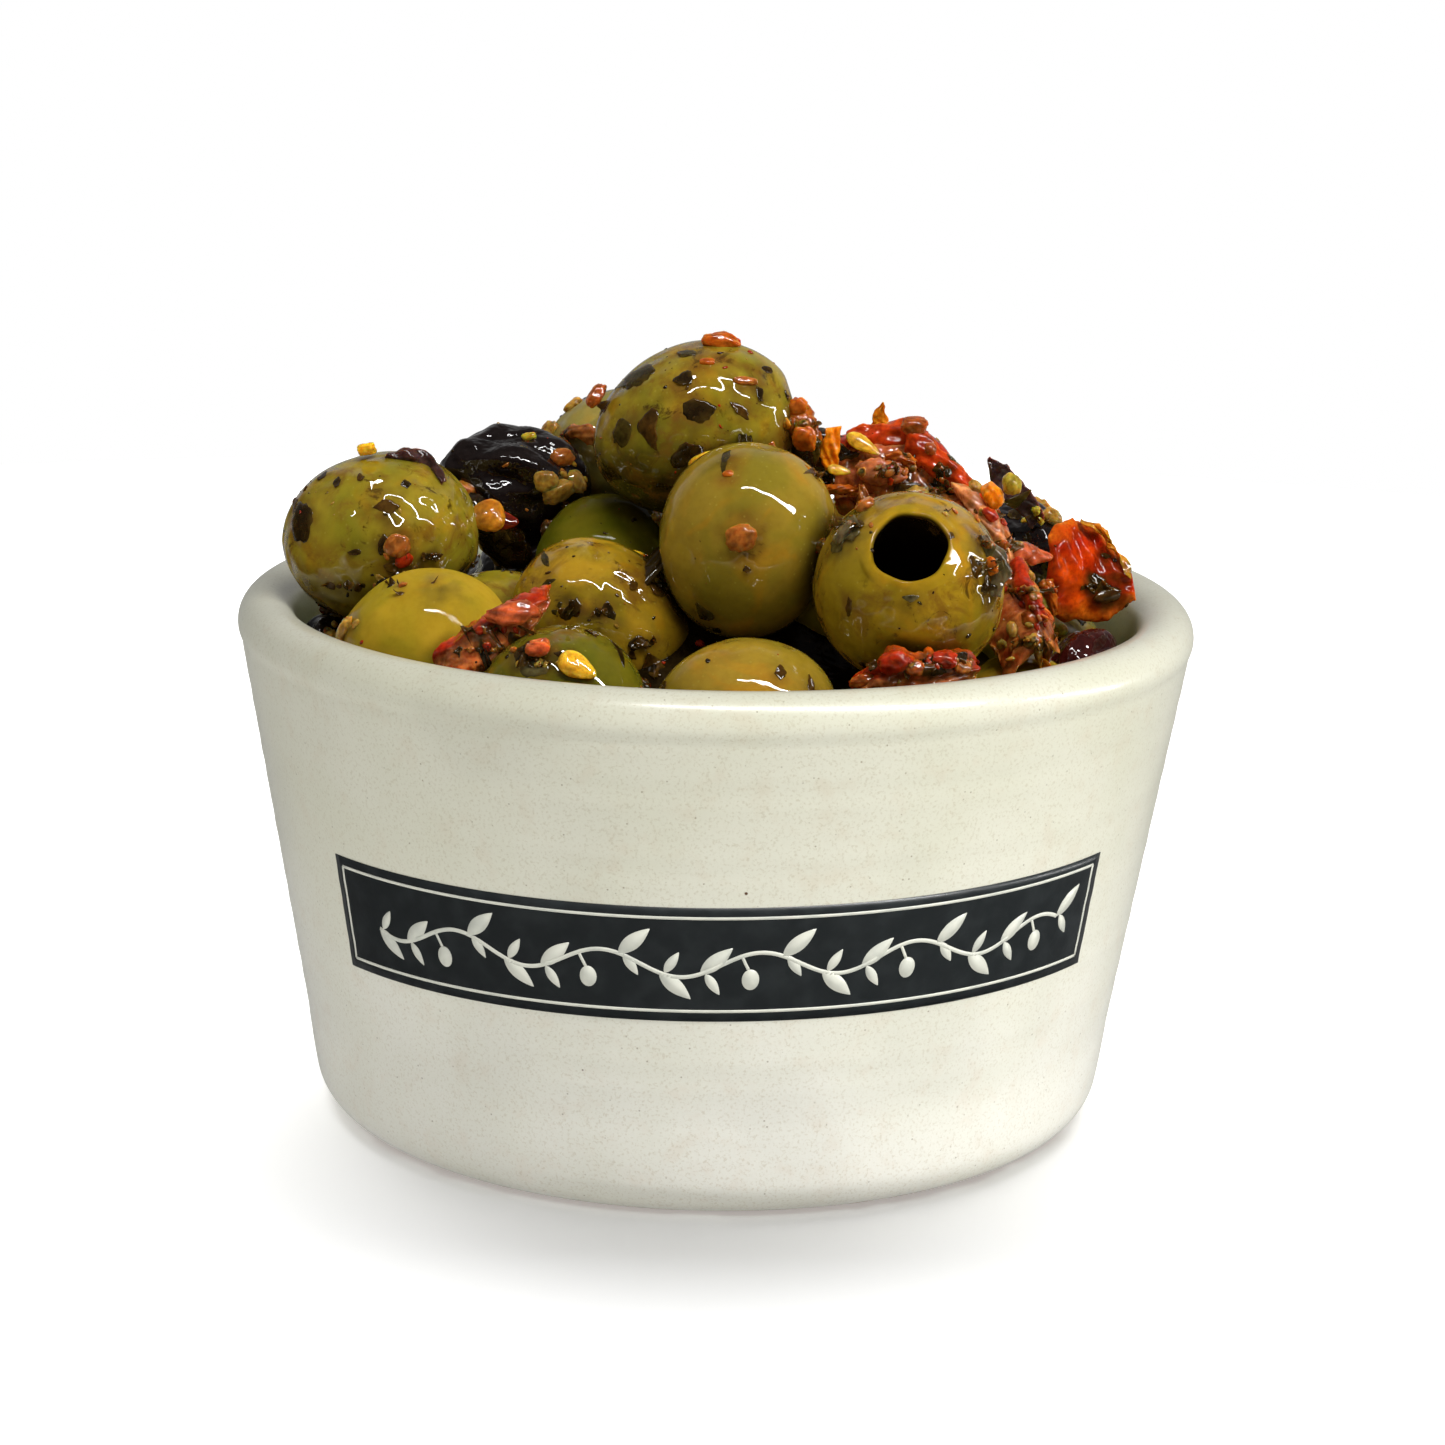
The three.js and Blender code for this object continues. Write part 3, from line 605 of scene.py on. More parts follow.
def make_bowl(material):
    points, faces, _, angle = revolved(bowl_profile(), 224)
    z = points[:, 2]
    radius = np.hypot(points[:, 0], points[:, 1])
    points[:, :2] *= (1 + wobble(angle, z) / np.maximum(radius, 20))[:, None]
    shade = 1 - 0.05 * smooth_step(0.0, 0.4, fractal(points, 22, 2, 9))
    # Painted light: darker towards the rim and lighter near the foot, for light bounced from the floor
    shade *= 1 - 0.22 * smooth_step(6, 50, z)
    shade *= 1 + 0.14 * smooth_step(15, 3, z)
    colour = np.ones((len(points), 4))
    colour[:, :3] = shade[:, None]
    # Painted light: cooler low down, for the white floor's light
    colour[:, 2] *= 1.09 - 0.11 * smooth_step(0, 48, z)
    # The inner wall is darker and greener: painted shade and reflection of the food, with some oil
    between = (wall_radius(z, -1) + wall_radius(z, 1)) / 2
    inner_shade_and_oil = ((radius < between) & (z > FLOOR - 1)) * smooth_step(55.2, 48, z)
    colour[:, :3] *= 1 - np.outer(inner_shade_and_oil, (0.62, 0.54, 0.68))
    # The foot is bare clay
    colour[:, 3] = (z < 0.55 + 0.25 * fractal(points, 6, 3, 4)) & (radius > 30)
    soup = Soup()
    soup.add(points, faces, colour)
    return soup.piece("stoneware_bowl", material, "stoneware_glaze", ["bowl"])


# --- The band -------------------------------------------------------------------------------------------

BAND_RADIUS = wall_radius(BAND_Z, 1)
BAND_MIDDLE = (BAND_FROM + BAND_TO) / 2
BAND_LENGTH = math.radians(BAND_TO - BAND_FROM) * BAND_RADIUS


def on_wall(flat, proud):
    """The wall's points for points of the flat band: along it from its middle, up from its centre line."""
    angle = math.radians(BAND_MIDDLE) + flat[:, 0] / BAND_RADIUS
    z = BAND_Z + BAND_TILT * flat[:, 0] + flat[:, 1] * math.cos(WALL_ANGLE)
    around = angle - math.pi / 2
    radius = outer_radius(z) + wobble(around, z) + proud
    return np.stack([radius * np.cos(around), radius * np.sin(around), z], 1)


def add_print(soup, flat, faces, proud):
    points, faces = closed_sheet(on_wall(flat, proud), on_wall(flat, -0.05), faces)
    soup.add(points, faces, (1, 1, 1, 0))


def band_sheet(length, height, columns, rows):
    along, up = np.linspace(-length / 2, length / 2, columns), np.linspace(-height / 2, height / 2, rows)
    x, y = np.meshgrid(along, up)
    return np.stack([x.ravel(), y.ravel()], 1), grid_faces(rows, columns)


def ribbon(x, y, width):
    """Flat strip along a line of points, each given by x and y. Any of the three may be a single number."""
    x, y, width = np.broadcast_arrays(x, y, width)
    centre = np.stack([x, y], 1)
    run = unit(np.gradient(centre, axis=0))
    side = np.stack([-run[:, 1], run[:, 0]], 1) * width[:, None] / 2
    flat = np.stack([centre - side, centre + side], 1).reshape(-1, 2)
    return flat, [(2 * i, 2 * i + 2, 2 * i + 3, 2 * i + 1) for i in range(len(centre) - 1)]


def make_band(dark, pale):
    field, line = Soup(), Soup()
    add_print(field, *band_sheet(BAND_LENGTH, BAND_HEIGHT, 120, 14), FIELD_PROUD)
    half_length, half_height = BAND_LENGTH / 2 - LINE_INSET, BAND_HEIGHT / 2 - LINE_INSET
    along, up = np.linspace(-half_length, half_length, 110), np.linspace(-half_height, half_height, 14)
    for sign in (-1, 1):
        add_print(line, *ribbon(along, sign * half_height, LINE_WIDTH), PRINT_PROUD)
        add_print(line, *ribbon(sign * half_length, up, LINE_WIDTH), PRINT_PROUD)
    soups = (("bowl_band", field, dark), ("bowl_band_line", line, pale),
             ("bowl_band_vine", make_vine(half_length - 5), pale))
    return [soup.piece(name, material, "stoneware_glaze") for name, soup, material in soups]


def make_vine(reach):
    """A wavy stem with leaves on both sides and round fruit between them."""
    soup = Soup()
    pitch, height = 15.5, 1.3

    def stem_y(x):
        return height * np.sin(2 * math.pi * x / pitch)

    stem = np.linspace(-reach, reach, 240)
    add_print(soup, *ribbon(stem, stem_y(stem), 0.42), PRINT_PROUD)
    count = int(2 * reach / (pitch / 4))
    for k in range(count + 1):
        x = -reach + 2 * reach * k / count
        side = 1 if k % 2 else -1
        if k % 4 == 2:
            add_fruit(soup, x, stem_y(x), side)
        else:
            add_leaf(soup, x, stem_y(x), side * math.radians(42), 4.1)
            add_leaf(soup, x + 0.5, stem_y(x), -side * math.radians(58), 2.6)
    return soup


def add_leaf(soup, x, y, angle, length):
    t = np.linspace(0, 1, 13)
    width = 0.36 * length * np.sin(math.pi * t ** 0.85) ** 0.9 + 0.06
    x, y = x + length * t * math.cos(angle), y + length * t * math.sin(angle)
    add_print(soup, *ribbon(x, y, width), PRINT_PROUD)


def add_fruit(soup, x, y, side):
    add_print(soup, *ribbon(np.linspace(x, x + 0.7, 5), np.linspace(y, y + side * 1.5, 5), 0.3), PRINT_PROUD)
    middle = np.array([x + 0.9, y + side * 2.5])
    around = np.linspace(0, 2 * math.pi, 20, endpoint=False)
    rim = middle + np.stack([0.85 * np.cos(around), 1.1 * np.sin(around)], 1)
    add_print(soup, np.concatenate([[middle], rim]), [face[::-1] for face in fan(20)], PRINT_PROUD)


# --- Olives ---------------------------------------------------------------------------------------------

def centre_of(name):
    return np.array(OLIVES[name][0], float)


def support(name, direction):
    """Distance from an olive's centre to its surface along a direction."""
    _, half, girth, turn, _ = OLIVES[name]
    along = np.dot(turn_to(*turn)[:, 2], direction)
    return 1 / math.sqrt((along / half) ** 2 + (1 - along ** 2) / girth ** 2)


def between_olives(one, other):
    """Distance and direction from one olive's centre to another's, and how far each reaches along it."""
    gap = centre_of(other) - centre_of(one)
    distance = np.linalg.norm(gap)
    return distance, gap / distance, support(one, gap / distance), support(other, gap / distance)


def contact_planes(name):
    """Where neighbours press an olive flat: direction and distance from its centre."""
    for other in OLIVES:
        if other != name:
            distance, direction, mine, theirs = between_olives(name, other)
            if mine + theirs > distance:
                yield direction, distance * mine / (mine + theirs) - CONTACT_GAP


def touching_olives():
    """Pairs of olives that press on each other: where, and the ring's plane and radius."""
    for one, other in itertools.combinations(OLIVES, 2):
        distance, axis, mine, theirs = between_olives(one, other)
        if mine + theirs > distance - 0.6:
            depth = max(0.2, (mine + theirs - distance) / 2)
            middle = centre_of(one) + axis * distance * mine / (mine + theirs)
            yield middle, axis, math.sqrt(2 * depth * min(mine, theirs))


def clear_of_bowl(points):
    """Presses points inwards from the bowl's inner wall and lip."""
    radius = np.hypot(points[:, 0], points[:, 1])
    centre, middle = RIM_RADIUS - LIP, BOWL_HEIGHT - LIP
    limit = wall_radius(points[:, 2], -1) - CLEARANCE
    above = points[:, 2] - middle
    reach = LIP + CLEARANCE
    over_lip = centre - np.sqrt(np.maximum(0, reach ** 2 - np.minimum(np.abs(above), reach) ** 2))
    limit = np.where(above > 0, np.where(above < reach, over_lip, 1e3), limit)
    # What lies over the lip is lifted onto it
    outside = (above > -2) & (radius > centre - 1) & (radius < centre + reach)
    top = middle + np.sqrt(np.maximum(0, reach ** 2 - (radius - centre) ** 2))
    lifted = outside & (points[:, 2] < top)
    result = points.copy()
    result[lifted, 2] = top[lifted]
    tight = (radius > limit) & ~lifted
    result[tight, :2] *= (limit[tight] / radius[tight])[:, None]
    return result


def olive_local(name, directions):
    """An olive's surface in its own frame, for directions from its centre, and their angles to its axis."""
    _, half, girth, _, special = OLIVES[name]
    t = np.arccos(np.clip(directions[:, 2], -1, 1))
    phi = np.arctan2(directions[:, 1], directions[:, 0])
    power = 2 / special.get("squareness", 2)
    along = np.sign(np.cos(t)) * np.abs(np.cos(t)) ** power * half
    out = np.abs(np.sin(t)) ** power * girth * (1 + 0.05 * np.cos(t))
    out += special.get("wrinkle", 0) * np.sin(t) * np.sin(5 * phi + 3 * t)
    return np.stack([np.cos(phi) * out, np.sin(phi) * out, along], 1), t


def place_olive(name, local):
    """Turns and moves an olive's points to their place, pressed against neighbours and the bowl."""
    points = local @ turn_to(*OLIVES[name][3]).T
    for direction, limit in contact_planes(name):
        over = points @ direction - limit
        soft = 0.5 * (over + np.sqrt(over ** 2 + 0.12))
        points -= np.outer(soft * (over > -1.5), direction)
    return clear_of_bowl(points + centre_of(name))


def shaped_olive(name, cells, seed):
    """A whole olive: its lumps, a dimple at the stalk's end and a small tip at the other."""
    directions, faces = ball(cells)
    local, t = olive_local(name, directions)
    lumps = 0.22 * fractal(directions, 0.9, 2, seed)
    dimple = -0.5 * np.exp(-(t / 0.13) ** 2)
    tip = 0.1 * np.exp(-((math.pi - t) / 0.1) ** 2)
    local += directions * (lumps + dimple + tip)[:, None]
    return place_olive(name, local), faces, t


def make_green_olives():
    soup = Soup()
    for seed, (name, olive) in enumerate(OLIVES.items()):
        special = olive[4]
        if "tint" in special and name != "pitted":
            buried = name.startswith(("ring", "inner", "gap"))
            points, faces, t = shaped_olive(name, COARSE if buried else FINE, seed)
            soup.add(points, faces, skin_colour(special, points, t, seed))
    return soup


def skin_colour(special, points, t, seed):
    """Base colour along an olive: browner at the stalk's end, uneven all over, darker brown towards the
    bottom as painted shade with some grime, and near black below the middle where a shadow share is given,
    as painted shadow. Alpha is how gritty its film is, or below 0 how little film there is."""
    uneven = fractal(points, 9, 2, seed + 3)[:, None]
    colour = np.array(SKINS[special["tint"]]) * (1 + 0.22 * uneven * np.array([1, 0.8, 1.2]))
    colour = blend(colour, SCAR, 0.6 * np.exp(-(t / 0.2) ** 2))
    height = (points[:, 2] - points[:, 2].mean()) / np.ptp(points[:, 2]) * 2
    # Darker brown towards the bottom: painted shade, with some grime
    under_shade_and_grime = smooth_step(0.2, -1.1, height + 0.35 * fractal(points, 4, 3, seed + 60))
    colour = blend(colour, UNDER_SHADE_AND_GRIME, under_shade_and_grime * special.get("shade_and_grime", min(0.8, 0.25 + special["grit"])))
    # Near black below the middle on some olives: painted shadow
    shaded = smooth_step(0.12, -0.5, height + 0.25 * fractal(points, 5, 2, seed + 61))
    colour = blend(colour, SHADOW, special.get("shadow", 0) * shaded)
    grit = np.clip(special["grit"] * (0.9 + 1.5 * fractal(points, 6, 2, seed + 40)), 0, 1)
    return with_alpha(np.clip(colour, 0, 1), -special["dry"] if "dry" in special else grit)


def make_pitted_olive():
    """The olive with its stone pushed out: the skin turns in over a rounded edge to a tapering hole."""
    _, half, girth, _, special = OLIVES["pitted"]
    edge, sunk = 0.55, 0.25  # how far the edge turns in, and down
    mouth = math.asin(PIT_RADIUS * 1.14 / girth)
    t = np.linspace(math.pi, mouth, 84)
    outer = np.stack([girth * np.sin(t) * (1 + 0.05 * np.cos(t)), half * np.cos(t)], 1)
    outer[0, 0] = 0
    edge_r, edge_z = outer[-1]
    bend = np.linspace(0.25, 1, 6) * math.pi / 2
    turn_z = edge_z + 0.12 * np.sin(2 * bend) - sunk * (1 - np.cos(bend))
    turn_in = np.stack([edge_r - edge * np.sin(bend), turn_z], 1)
    down = np.linspace(0, 1, 26)[1:]
    inner_r = (edge_r - edge + 0.75 * smooth_step(0, 0.2, down)) * np.sqrt(np.clip(1 - down ** 8, 0, 1))
    inner = np.stack([inner_r, edge_z - sunk - down * (PIT_DEPTH - 1)], 1)
    local, faces, row, angle = revolved(np.concatenate([outer, turn_in, inner]), 110)
    hole = row >= len(outer) - 3
    uneven = 1 + 0.025 * np.sin(2 * angle + 0.4) + 0.022 * np.sin(4 * angle) + 0.012 * np.sin(7 * angle + 1)
    local[hole, :2] *= uneven[hole, None]
    local += unit(local + 1e-6) * (0.2 * fractal(local, 9, 2, 7) + 0.05 * fractal(local, 2.2, 2, 8))[:, None]
    colour = skin_colour(special, local, np.full(len(local), 1.5), 5)
    # The hole turns near black below its edge: painted shade
    colour[:, :3] = blend(colour[:, :3], PIT_SHADE, smooth_step(len(outer) - 1, len(outer) + 6, row))
    colour[:, 3] = np.where(hole, -smooth_step(len(outer) - 4, len(outer) + 1, row), colour[:, 3])
    soup = Soup()
    soup.add(place_olive("pitted", local), faces, colour)
    return soup


def make_black_olives():
    """Dry-cured olives: deep folds that run along them, and a finer net of creases."""
    soup = Soup()
    for seed, (name, (_, half, _, _, special)) in enumerate(OLIVES.items()):
        if "wrinkle" in special:
            directions, faces = ball(FINE if half > 4 else COARSE)
            local, _ = olive_local(name, directions)
            stretched = directions * np.array([1, 1, 0.7])
            folds = 1 - np.sqrt(fractal(stretched, 0.66, 1, seed) ** 2 + 0.015) * 2.6
            creases = 1 - np.sqrt(fractal(stretched, 0.26, 1, seed + 50) ** 2 + 0.01) * 2
            local += directions * (special["wrinkle"] * (1.3 * folds + 0.4 * creases) - 0.35)[:, None]
            base = RED_SKIN if special.get("red") else BLACK_SKIN
            # Lighter on the fold ridges and darker in their valleys: painted shade in the creases
            colour = np.outer(0.5 * (1 + 0.8 * np.clip(folds, 0, 1)), base)
            soup.add(place_olive(name, local), faces, with_alpha(colour))
    return soup


# --- Core: what fills the bowl below the olives -----------------------------------------------------------

# The core is near black all over: painted shade where it shows in the gaps between olives
def make_core():
    edge_z, top_z = 41, 59
    fillet = arc(inner_centre(), FLOOR + FLOOR_FILLET, FLOOR_FILLET - CLEARANCE, -math.pi / 2, WALL_ANGLE, 8)
    z = np.linspace(fillet[-1, 1], edge_z, 12)[1:]
    wall = np.stack([wall_radius(z, -1) - CLEARANCE, z], 1)
    t = np.linspace(0, 1, 40)[1:]
    dome = np.stack([wall[-1, 0] * (1 - t), edge_z + (top_z - edge_z) * np.sin(t * math.pi / 2)], 1)
    points, faces, _, _ = revolved(np.concatenate([[(0, FLOOR + CLEARANCE)], fillet, wall, dome]), 120)
    lift = smooth_step(edge_z - 6, edge_z + 4, points[:, 2])
    points[:, 2] += lift * (1.6 * fractal(points, 9, 3, 1) - 1.5)
    colour = np.outer(1 + 0.7 * fractal(points, 3, 3, 2), HEAP_SHADE)
    soup = Soup()
    soup.add(points, faces, with_alpha(np.clip(colour, 0.001, 1)))
    return soup


# --- Sun-dried tomato -------------------------------------------------------------------------------------

def random_from(seed):
    """The solids' own random numbers, so that the folds are the same."""
    state = seed
    while True:
        state = (state * 1664525 + 1013904223) % 4294967296
        yield state / 4294967296


def crumpling(seed):
    """Height of a strip's folds, as a function of the shares along and across it."""
    draw = random_from(seed)
    waves = []
    for k in range(5):
        f, g, phase = 1 + 3 * next(draw), 2.5 * next(draw) - 1.2, TURN * next(draw)
        waves.append((f, g, phase, 1 / (1 + 0.5 * k)))

    def height(u, v):
        return sum(size * np.sin(2 * math.pi * (f * u + g * v) + phase) for f, g, phase, size in waves) / 2

    return height


def smooth_line(points, u):
    """Centripetal curve through points, at shares u of its length in stations, and its direction."""
    points = np.asarray(points, float)
    count = len(points)
    padded = np.concatenate([[2 * points[0] - points[1]], points, [2 * points[-1] - points[-2]]])
    place = np.clip(u * (count - 1), 0, count - 1 - 1e-9)
    first = place.astype(int)
    w = (place - first)[:, None]
    a, b, c, d = (padded[first + k] for k in range(4))
    at = 0.5 * (2 * b + (c - a) * w + (2 * a - 5 * b + 4 * c - d) * w ** 2 + (3 * b - a - 3 * c + d) * w ** 3)
    run = 0.5 * ((c - a) + 2 * (2 * a - 5 * b + 4 * c - d) * w + 3 * (3 * b - a - 3 * c + d) * w ** 2)
    return at, unit(run)


def strip_shape(strip, steps, across, ragged_mm, fine, fine_mm=2.4, flesh=None):
    """A crumpled strip: its upper and lower faces as one closed body, and u and v of each point. Where flesh,
    a function of u and v, is 1, the surface is torn and lumpy."""
    seed = strip["seed"]
    centres, sides, widths = (np.array(column, float) for column in zip(*strip["stations"]))
    u, v = np.linspace(0, 1, steps + 1), np.linspace(-1, 1, across + 1)
    line, run = smooth_line(centres, u)
    at, places = u * (len(centres) - 1), range(len(centres))
    side = unit(np.stack([np.interp(at, places, sides[:, k]) for k in range(3)], 1))
    normal = unit(np.cross(side, run))[:, None]
    crumple, ragged = crumpling(seed), crumpling(seed + 1)
    width = np.interp(at, places, widths) * (1 + 0.08 * ragged(u, 0))
    uu, vv = np.meshgrid(u, v, indexing="ij")
    sag = strip["crumple"] * crumple(uu, vv) + strip["drape"] * vv ** 2
    half = strip["thickness"] / 2 * (0.12 + 0.88 * np.sqrt(1 - vv ** 2))
    half = half * (0.25 + 0.75 * np.sqrt(np.clip(1 - (2 * uu - 1) ** 8, 0, 1)))
    middle = line[:, None] + side[:, None] * (vv * width[:, None] / 2)[..., None]
    flat = middle.reshape(-1, 3)

    def rough(points, size, octaves, shift):
        return fractal(points, size, octaves, seed + shift).reshape(uu.shape)

    jag = ragged_mm * rough(flat, 1.6, 3, 11) * np.abs(vv) ** 3
    middle = middle + side[:, None] * (jag * np.sign(vv))[..., None]
    folds = 1 - 2.2 * np.abs(rough(flat, fine_mm * 2, 2, 20))
    dents = fine * (folds + 0.5 * rough(flat, fine_mm, 2, 21))
    torn = rough(flat * np.array([0.6, 1, 1]), 2.5, 4, 30)
    lumps = (flesh(uu, vv) if flesh else 0) * (0.3 + 0.65 * torn) + 0.02 * torn
    upper = middle - normal * (half - sag - dents - lumps)[..., None]
    lower = middle + normal * (half + sag + dents * 0.7 - lumps)[..., None]
    upper, lower = upper.reshape(-1, 3), lower.reshape(-1, 3)
    points, faces = closed_sheet(upper, lower, grid_faces(steps + 1, across + 1))
    return points, faces, np.tile(uu.ravel(), 2), np.tile(vv.ravel(), 2)


TOMATO_SKIN = (0.36, 0.017, 0.002)
TOMATO_GLOW = (0.60, 0.055, 0.003)
PEPPER_SKIN = (0.46, 0.014, 0.001)
PEPPER_GLOW = (0.78, 0.075, 0.001)
TOMATO_FLESH = (0.66, 0.20, 0.048)
TOMATO_EDGE = (0.66, 0.17, 0.008)
TOMATO_DARK = (0.045, 0.008, 0.002)


def tomato_colour(points, v, fleshy, seed, edge, glow=0.5, dark=0.5, skin=TOMATO_SKIN, lit=TOMATO_GLOW):
    """Deep red skin with a share that glows, pink-brown flesh where fleshy is 1, orange where the edge is
    thin, dark in places."""
    fleshy = np.clip(fleshy * (0.75 + 0.9 * fractal(points, 2.2, 3, seed)), 0, 1)
    glowing = smooth_step(0.5 - glow, 1.0 - glow, fractal(points, 6, 2, seed + 7))
    flesh = np.outer(1 + 0.6 * fractal(points, 1.8, 3, seed + 9), TOMATO_FLESH)
    colour = blend(blend(np.array(skin), lit, glowing), flesh, fleshy)
    thin = edge * smooth_step(0.5, 1.0, np.abs(v) + 0.25 * fractal(points, 3, 2, seed + 4))
    shade = dark * smooth_step(0.12, 0.42, fractal(points, 2.2, 3, seed + 1))
    return with_alpha(np.clip(blend(blend(colour, TOMATO_EDGE, thin), TOMATO_DARK, shade), 0, 1))


def ridge_flesh(u, v):
    """The long strip's flesh shows below its upper edge, and all over its lower end."""
    below = 1 - smooth_step(-0.1, 0.1, v + 0.15 * np.sin(19 * u) + 0.08 * np.sin(47 * u))
    return np.maximum(below, smooth_step(0.5, 0.6, u))


def make_tomatoes():
    """A soup for each solid, with the solid's own folds and a finer crumple."""
    # Steps along and across, raggedness, fine crumple, where the flesh shows, and the colouring
    looks = {
        "tomato_ridge": (240, 64, 0.7, 0.2, ridge_flesh, dict(edge=0.3)),
        "tomato_flap": (90, 70, 0.35, 0.03, None,
                        dict(edge=0.7, glow=0.7, dark=0.3, skin=PEPPER_SKIN, lit=PEPPER_GLOW)),
        "tomato_front_left": (100, 36, 0.7, 0.25,
                              lambda u, v: 1 - smooth_step(0.1, 0.3, v), dict(edge=0.2)),
        "tomato_front_right": (100, 36, 0.7, 0.25,
                               lambda u, v: 1 - smooth_step(-0.4, -0.2, v), dict(edge=0.4)),
    }
    soups = {}
    for name, (steps, across, ragged, fine, flesh, colouring) in looks.items():
        strip = TOMATOES[name]
        points, faces, u, v = strip_shape(strip, steps, across, ragged, fine, flesh=flesh)
        fleshy = flesh(u, v) if flesh else 0 * u
        soups[name] = Soup()
        soups[name].add(points, faces, tomato_colour(points, v, fleshy, strip["seed"], **colouring))
    return soups


# --- Small things that lie on the food ----------------------------------------------------------------------

LEAF = (0.032, 0.022, 0.003)
DARK = (0.017, 0.009, 0.002)
GREY = (0.065, 0.052, 0.018)
BROWN = (0.050, 0.022, 0.003)
LEAF_THIN = (0.13, 0.075, 0.010)
PURPLE = (0.05, 0.024, 0.02)
PASTE = (0.09, 0.07, 0.03)
PEPPER = (0.40, 0.095, 0.006)
AMBER = (0.44, 0.17, 0.010)
GARLIC = (0.34, 0.20, 0.03)
PINK = (0.30, 0.098, 0.014)
RED = (0.30, 0.018, 0.003)
YELLOW = (0.66, 0.38, 0.020)
LIME = (0.34, 0.27, 0.02)
ORANGE = (0.78, 0.22, 0.004)
GOLDEN = (0.46, 0.18, 0.010)
RUSSET = (0.26, 0.06, 0.008)
DEEP_RED = (0.10, 0.007, 0.002)
SHEET = (0.46, 0.040, 0.004)
SPIKE = (0.62, 0.20, 0.008)
FLESHY = (0.54, 0.16, 0.050)
LOBE = (0.56, 0.11, 0.030)
PALE = (0.78, 0.30, 0.10)


class Ground:
    """The food's surface, to lay small things on."""

    def __init__(self, soups):
        points, faces, count = [], [], 0
        for soup in soups:
            points += soup.points
            faces += shifted(soup.faces, count)
            count += soup.count
        self.tree = BVHTree.FromPolygons(np.concatenate(points).tolist(), faces)

    def cast(self, start, direction, reach=1e4):
        """Where a ray first meets the food, and the surface's direction towards its start."""
        hit, normal, _, _ = self.tree.ray_cast(Vector(start), Vector(direction), reach)
        if hit is None:
            return None
        normal = np.array(normal)
        return np.array(hit), normal if np.dot(normal, direction) < 0 else -normal

    def nearest(self, place):
        near, normal, _, gap = self.tree.find_nearest(Vector(place))
        return np.array(near), np.array(normal), gap

    def at_pixel(self, x, y, beyond=0.0):
        """Where the food shows at a pixel. Beside the food it is the food's nearest place to the line of
        sight, or a share of the way beyond it."""
        direction = sight(x, y)
        found = self.cast(EYE, direction)
        if found:
            return found
        place = pixel_point(x, y, SEARCH_FROM_Y)
        for _ in range(4):
            near, _, _ = self.nearest(place)
            place = EYE + direction * np.dot(near - EYE, direction)
        return near + beyond * (place - near), unit(place - near + 1e-9)

    def under(self, point, normal, reach=2.2):
        """The surface below a point, looking along the normal."""
        return self.cast(point + normal * reach, -normal, 2 * reach)

    def open_to_eye(self, point, normal):
        towards = unit(EYE - point)
        return np.dot(normal, towards) > -0.4 and self.cast(point + normal * 1.5, towards) is None


def mm_per_pixel(point):
    return np.dot(point - EYE, FORWARD) / CAMERA_FOCAL


def outline(rng, width, height, count):
    """Points round a torn leaf scrap: a few uneven corners, worn round, with a nibbled edge between them."""
    corners = rng.integers(4, 8)
    angles = (np.arange(corners) + rng.uniform(-0.4, 0.4, corners)) * 2 * math.pi / corners
    reach = rng.uniform(0.6, 1.25, corners)
    loop = np.stack([np.cos(angles) * reach * width / 2, np.sin(angles) * reach * height / 2], 1)
    loop = np.concatenate([loop, loop[:1]])
    run = np.concatenate([[0], np.cumsum(np.linalg.norm(np.diff(loop, axis=0), axis=1))])
    at = np.linspace(0, run[-1], count, endpoint=False)
    edge = np.stack([np.interp(at, run, loop[:, k]) for k in (0, 1)], 1)
    edge = (np.roll(edge, 1, 0) + 2 * edge + np.roll(edge, -1, 0)) / 4
    return edge * (1 + rng.uniform(-0.1, 0.1, (count, 1)))


def add_flake(soup, ground, point, normal, width, height, spin, colour, seed, curl=0.2, rings=5, spokes=24):
    """A scrap of soaked leaf that clings to the food below it."""
    rng = np.random.default_rng(seed)
    a, b = tangents(normal, spin)
    edge = outline(rng, width, height, spokes)
    share = np.repeat(np.arange(rings + 1) / rings, [1] + [spokes] * rings)
    flat = np.concatenate([np.zeros((1, 2))] + [edge * (k / rings) for k in range(1, rings + 1)])
    lifted = rng.uniform(0, 2 * math.pi)
    around = np.arctan2(flat[:, 1], flat[:, 0])
    lift = 0.06 - 0.04 * share ** 3 + curl * share ** 2 * np.clip(np.cos(around - lifted), 0, 1) ** 3
    top, last = [], normal
    for (x, y), up in zip(flat, lift):
        place = point + a * x + b * y
        found = ground.under(place, normal)
        if found is None or np.dot(found[1], normal) < 0.25:
            base = place - normal * (x * x + y * y) / 16
        else:
            base, last = found[0], unit(0.5 * found[1] + 0.5 * normal)
        top.append(base + last * up)
    top = np.array(top)
    top += np.outer(0.04 * fractal(top, 0.9, 2, seed), normal)
    under = top - normal * (0.08 - 0.05 * share)[:, None]
    faces = fan(spokes) + shifted(grid_faces(rings, spokes, closed=True), 1)
    points, faces = closed_sheet(top, under, [face[::-1] for face in faces])
    shade = np.clip(1 + 0.7 * fractal(top, 1.0, 3, seed + 5), 0.3, 3)
    thin = 0.3 * share ** 3 * (0.6 + 0.5 * np.cos(2 * around + seed))
    colours = with_alpha(np.clip(blend(np.outer(shade, colour), LEAF_THIN, thin), 0, 1))
    soup.add(points, faces, np.tile(colours, (2, 1)))


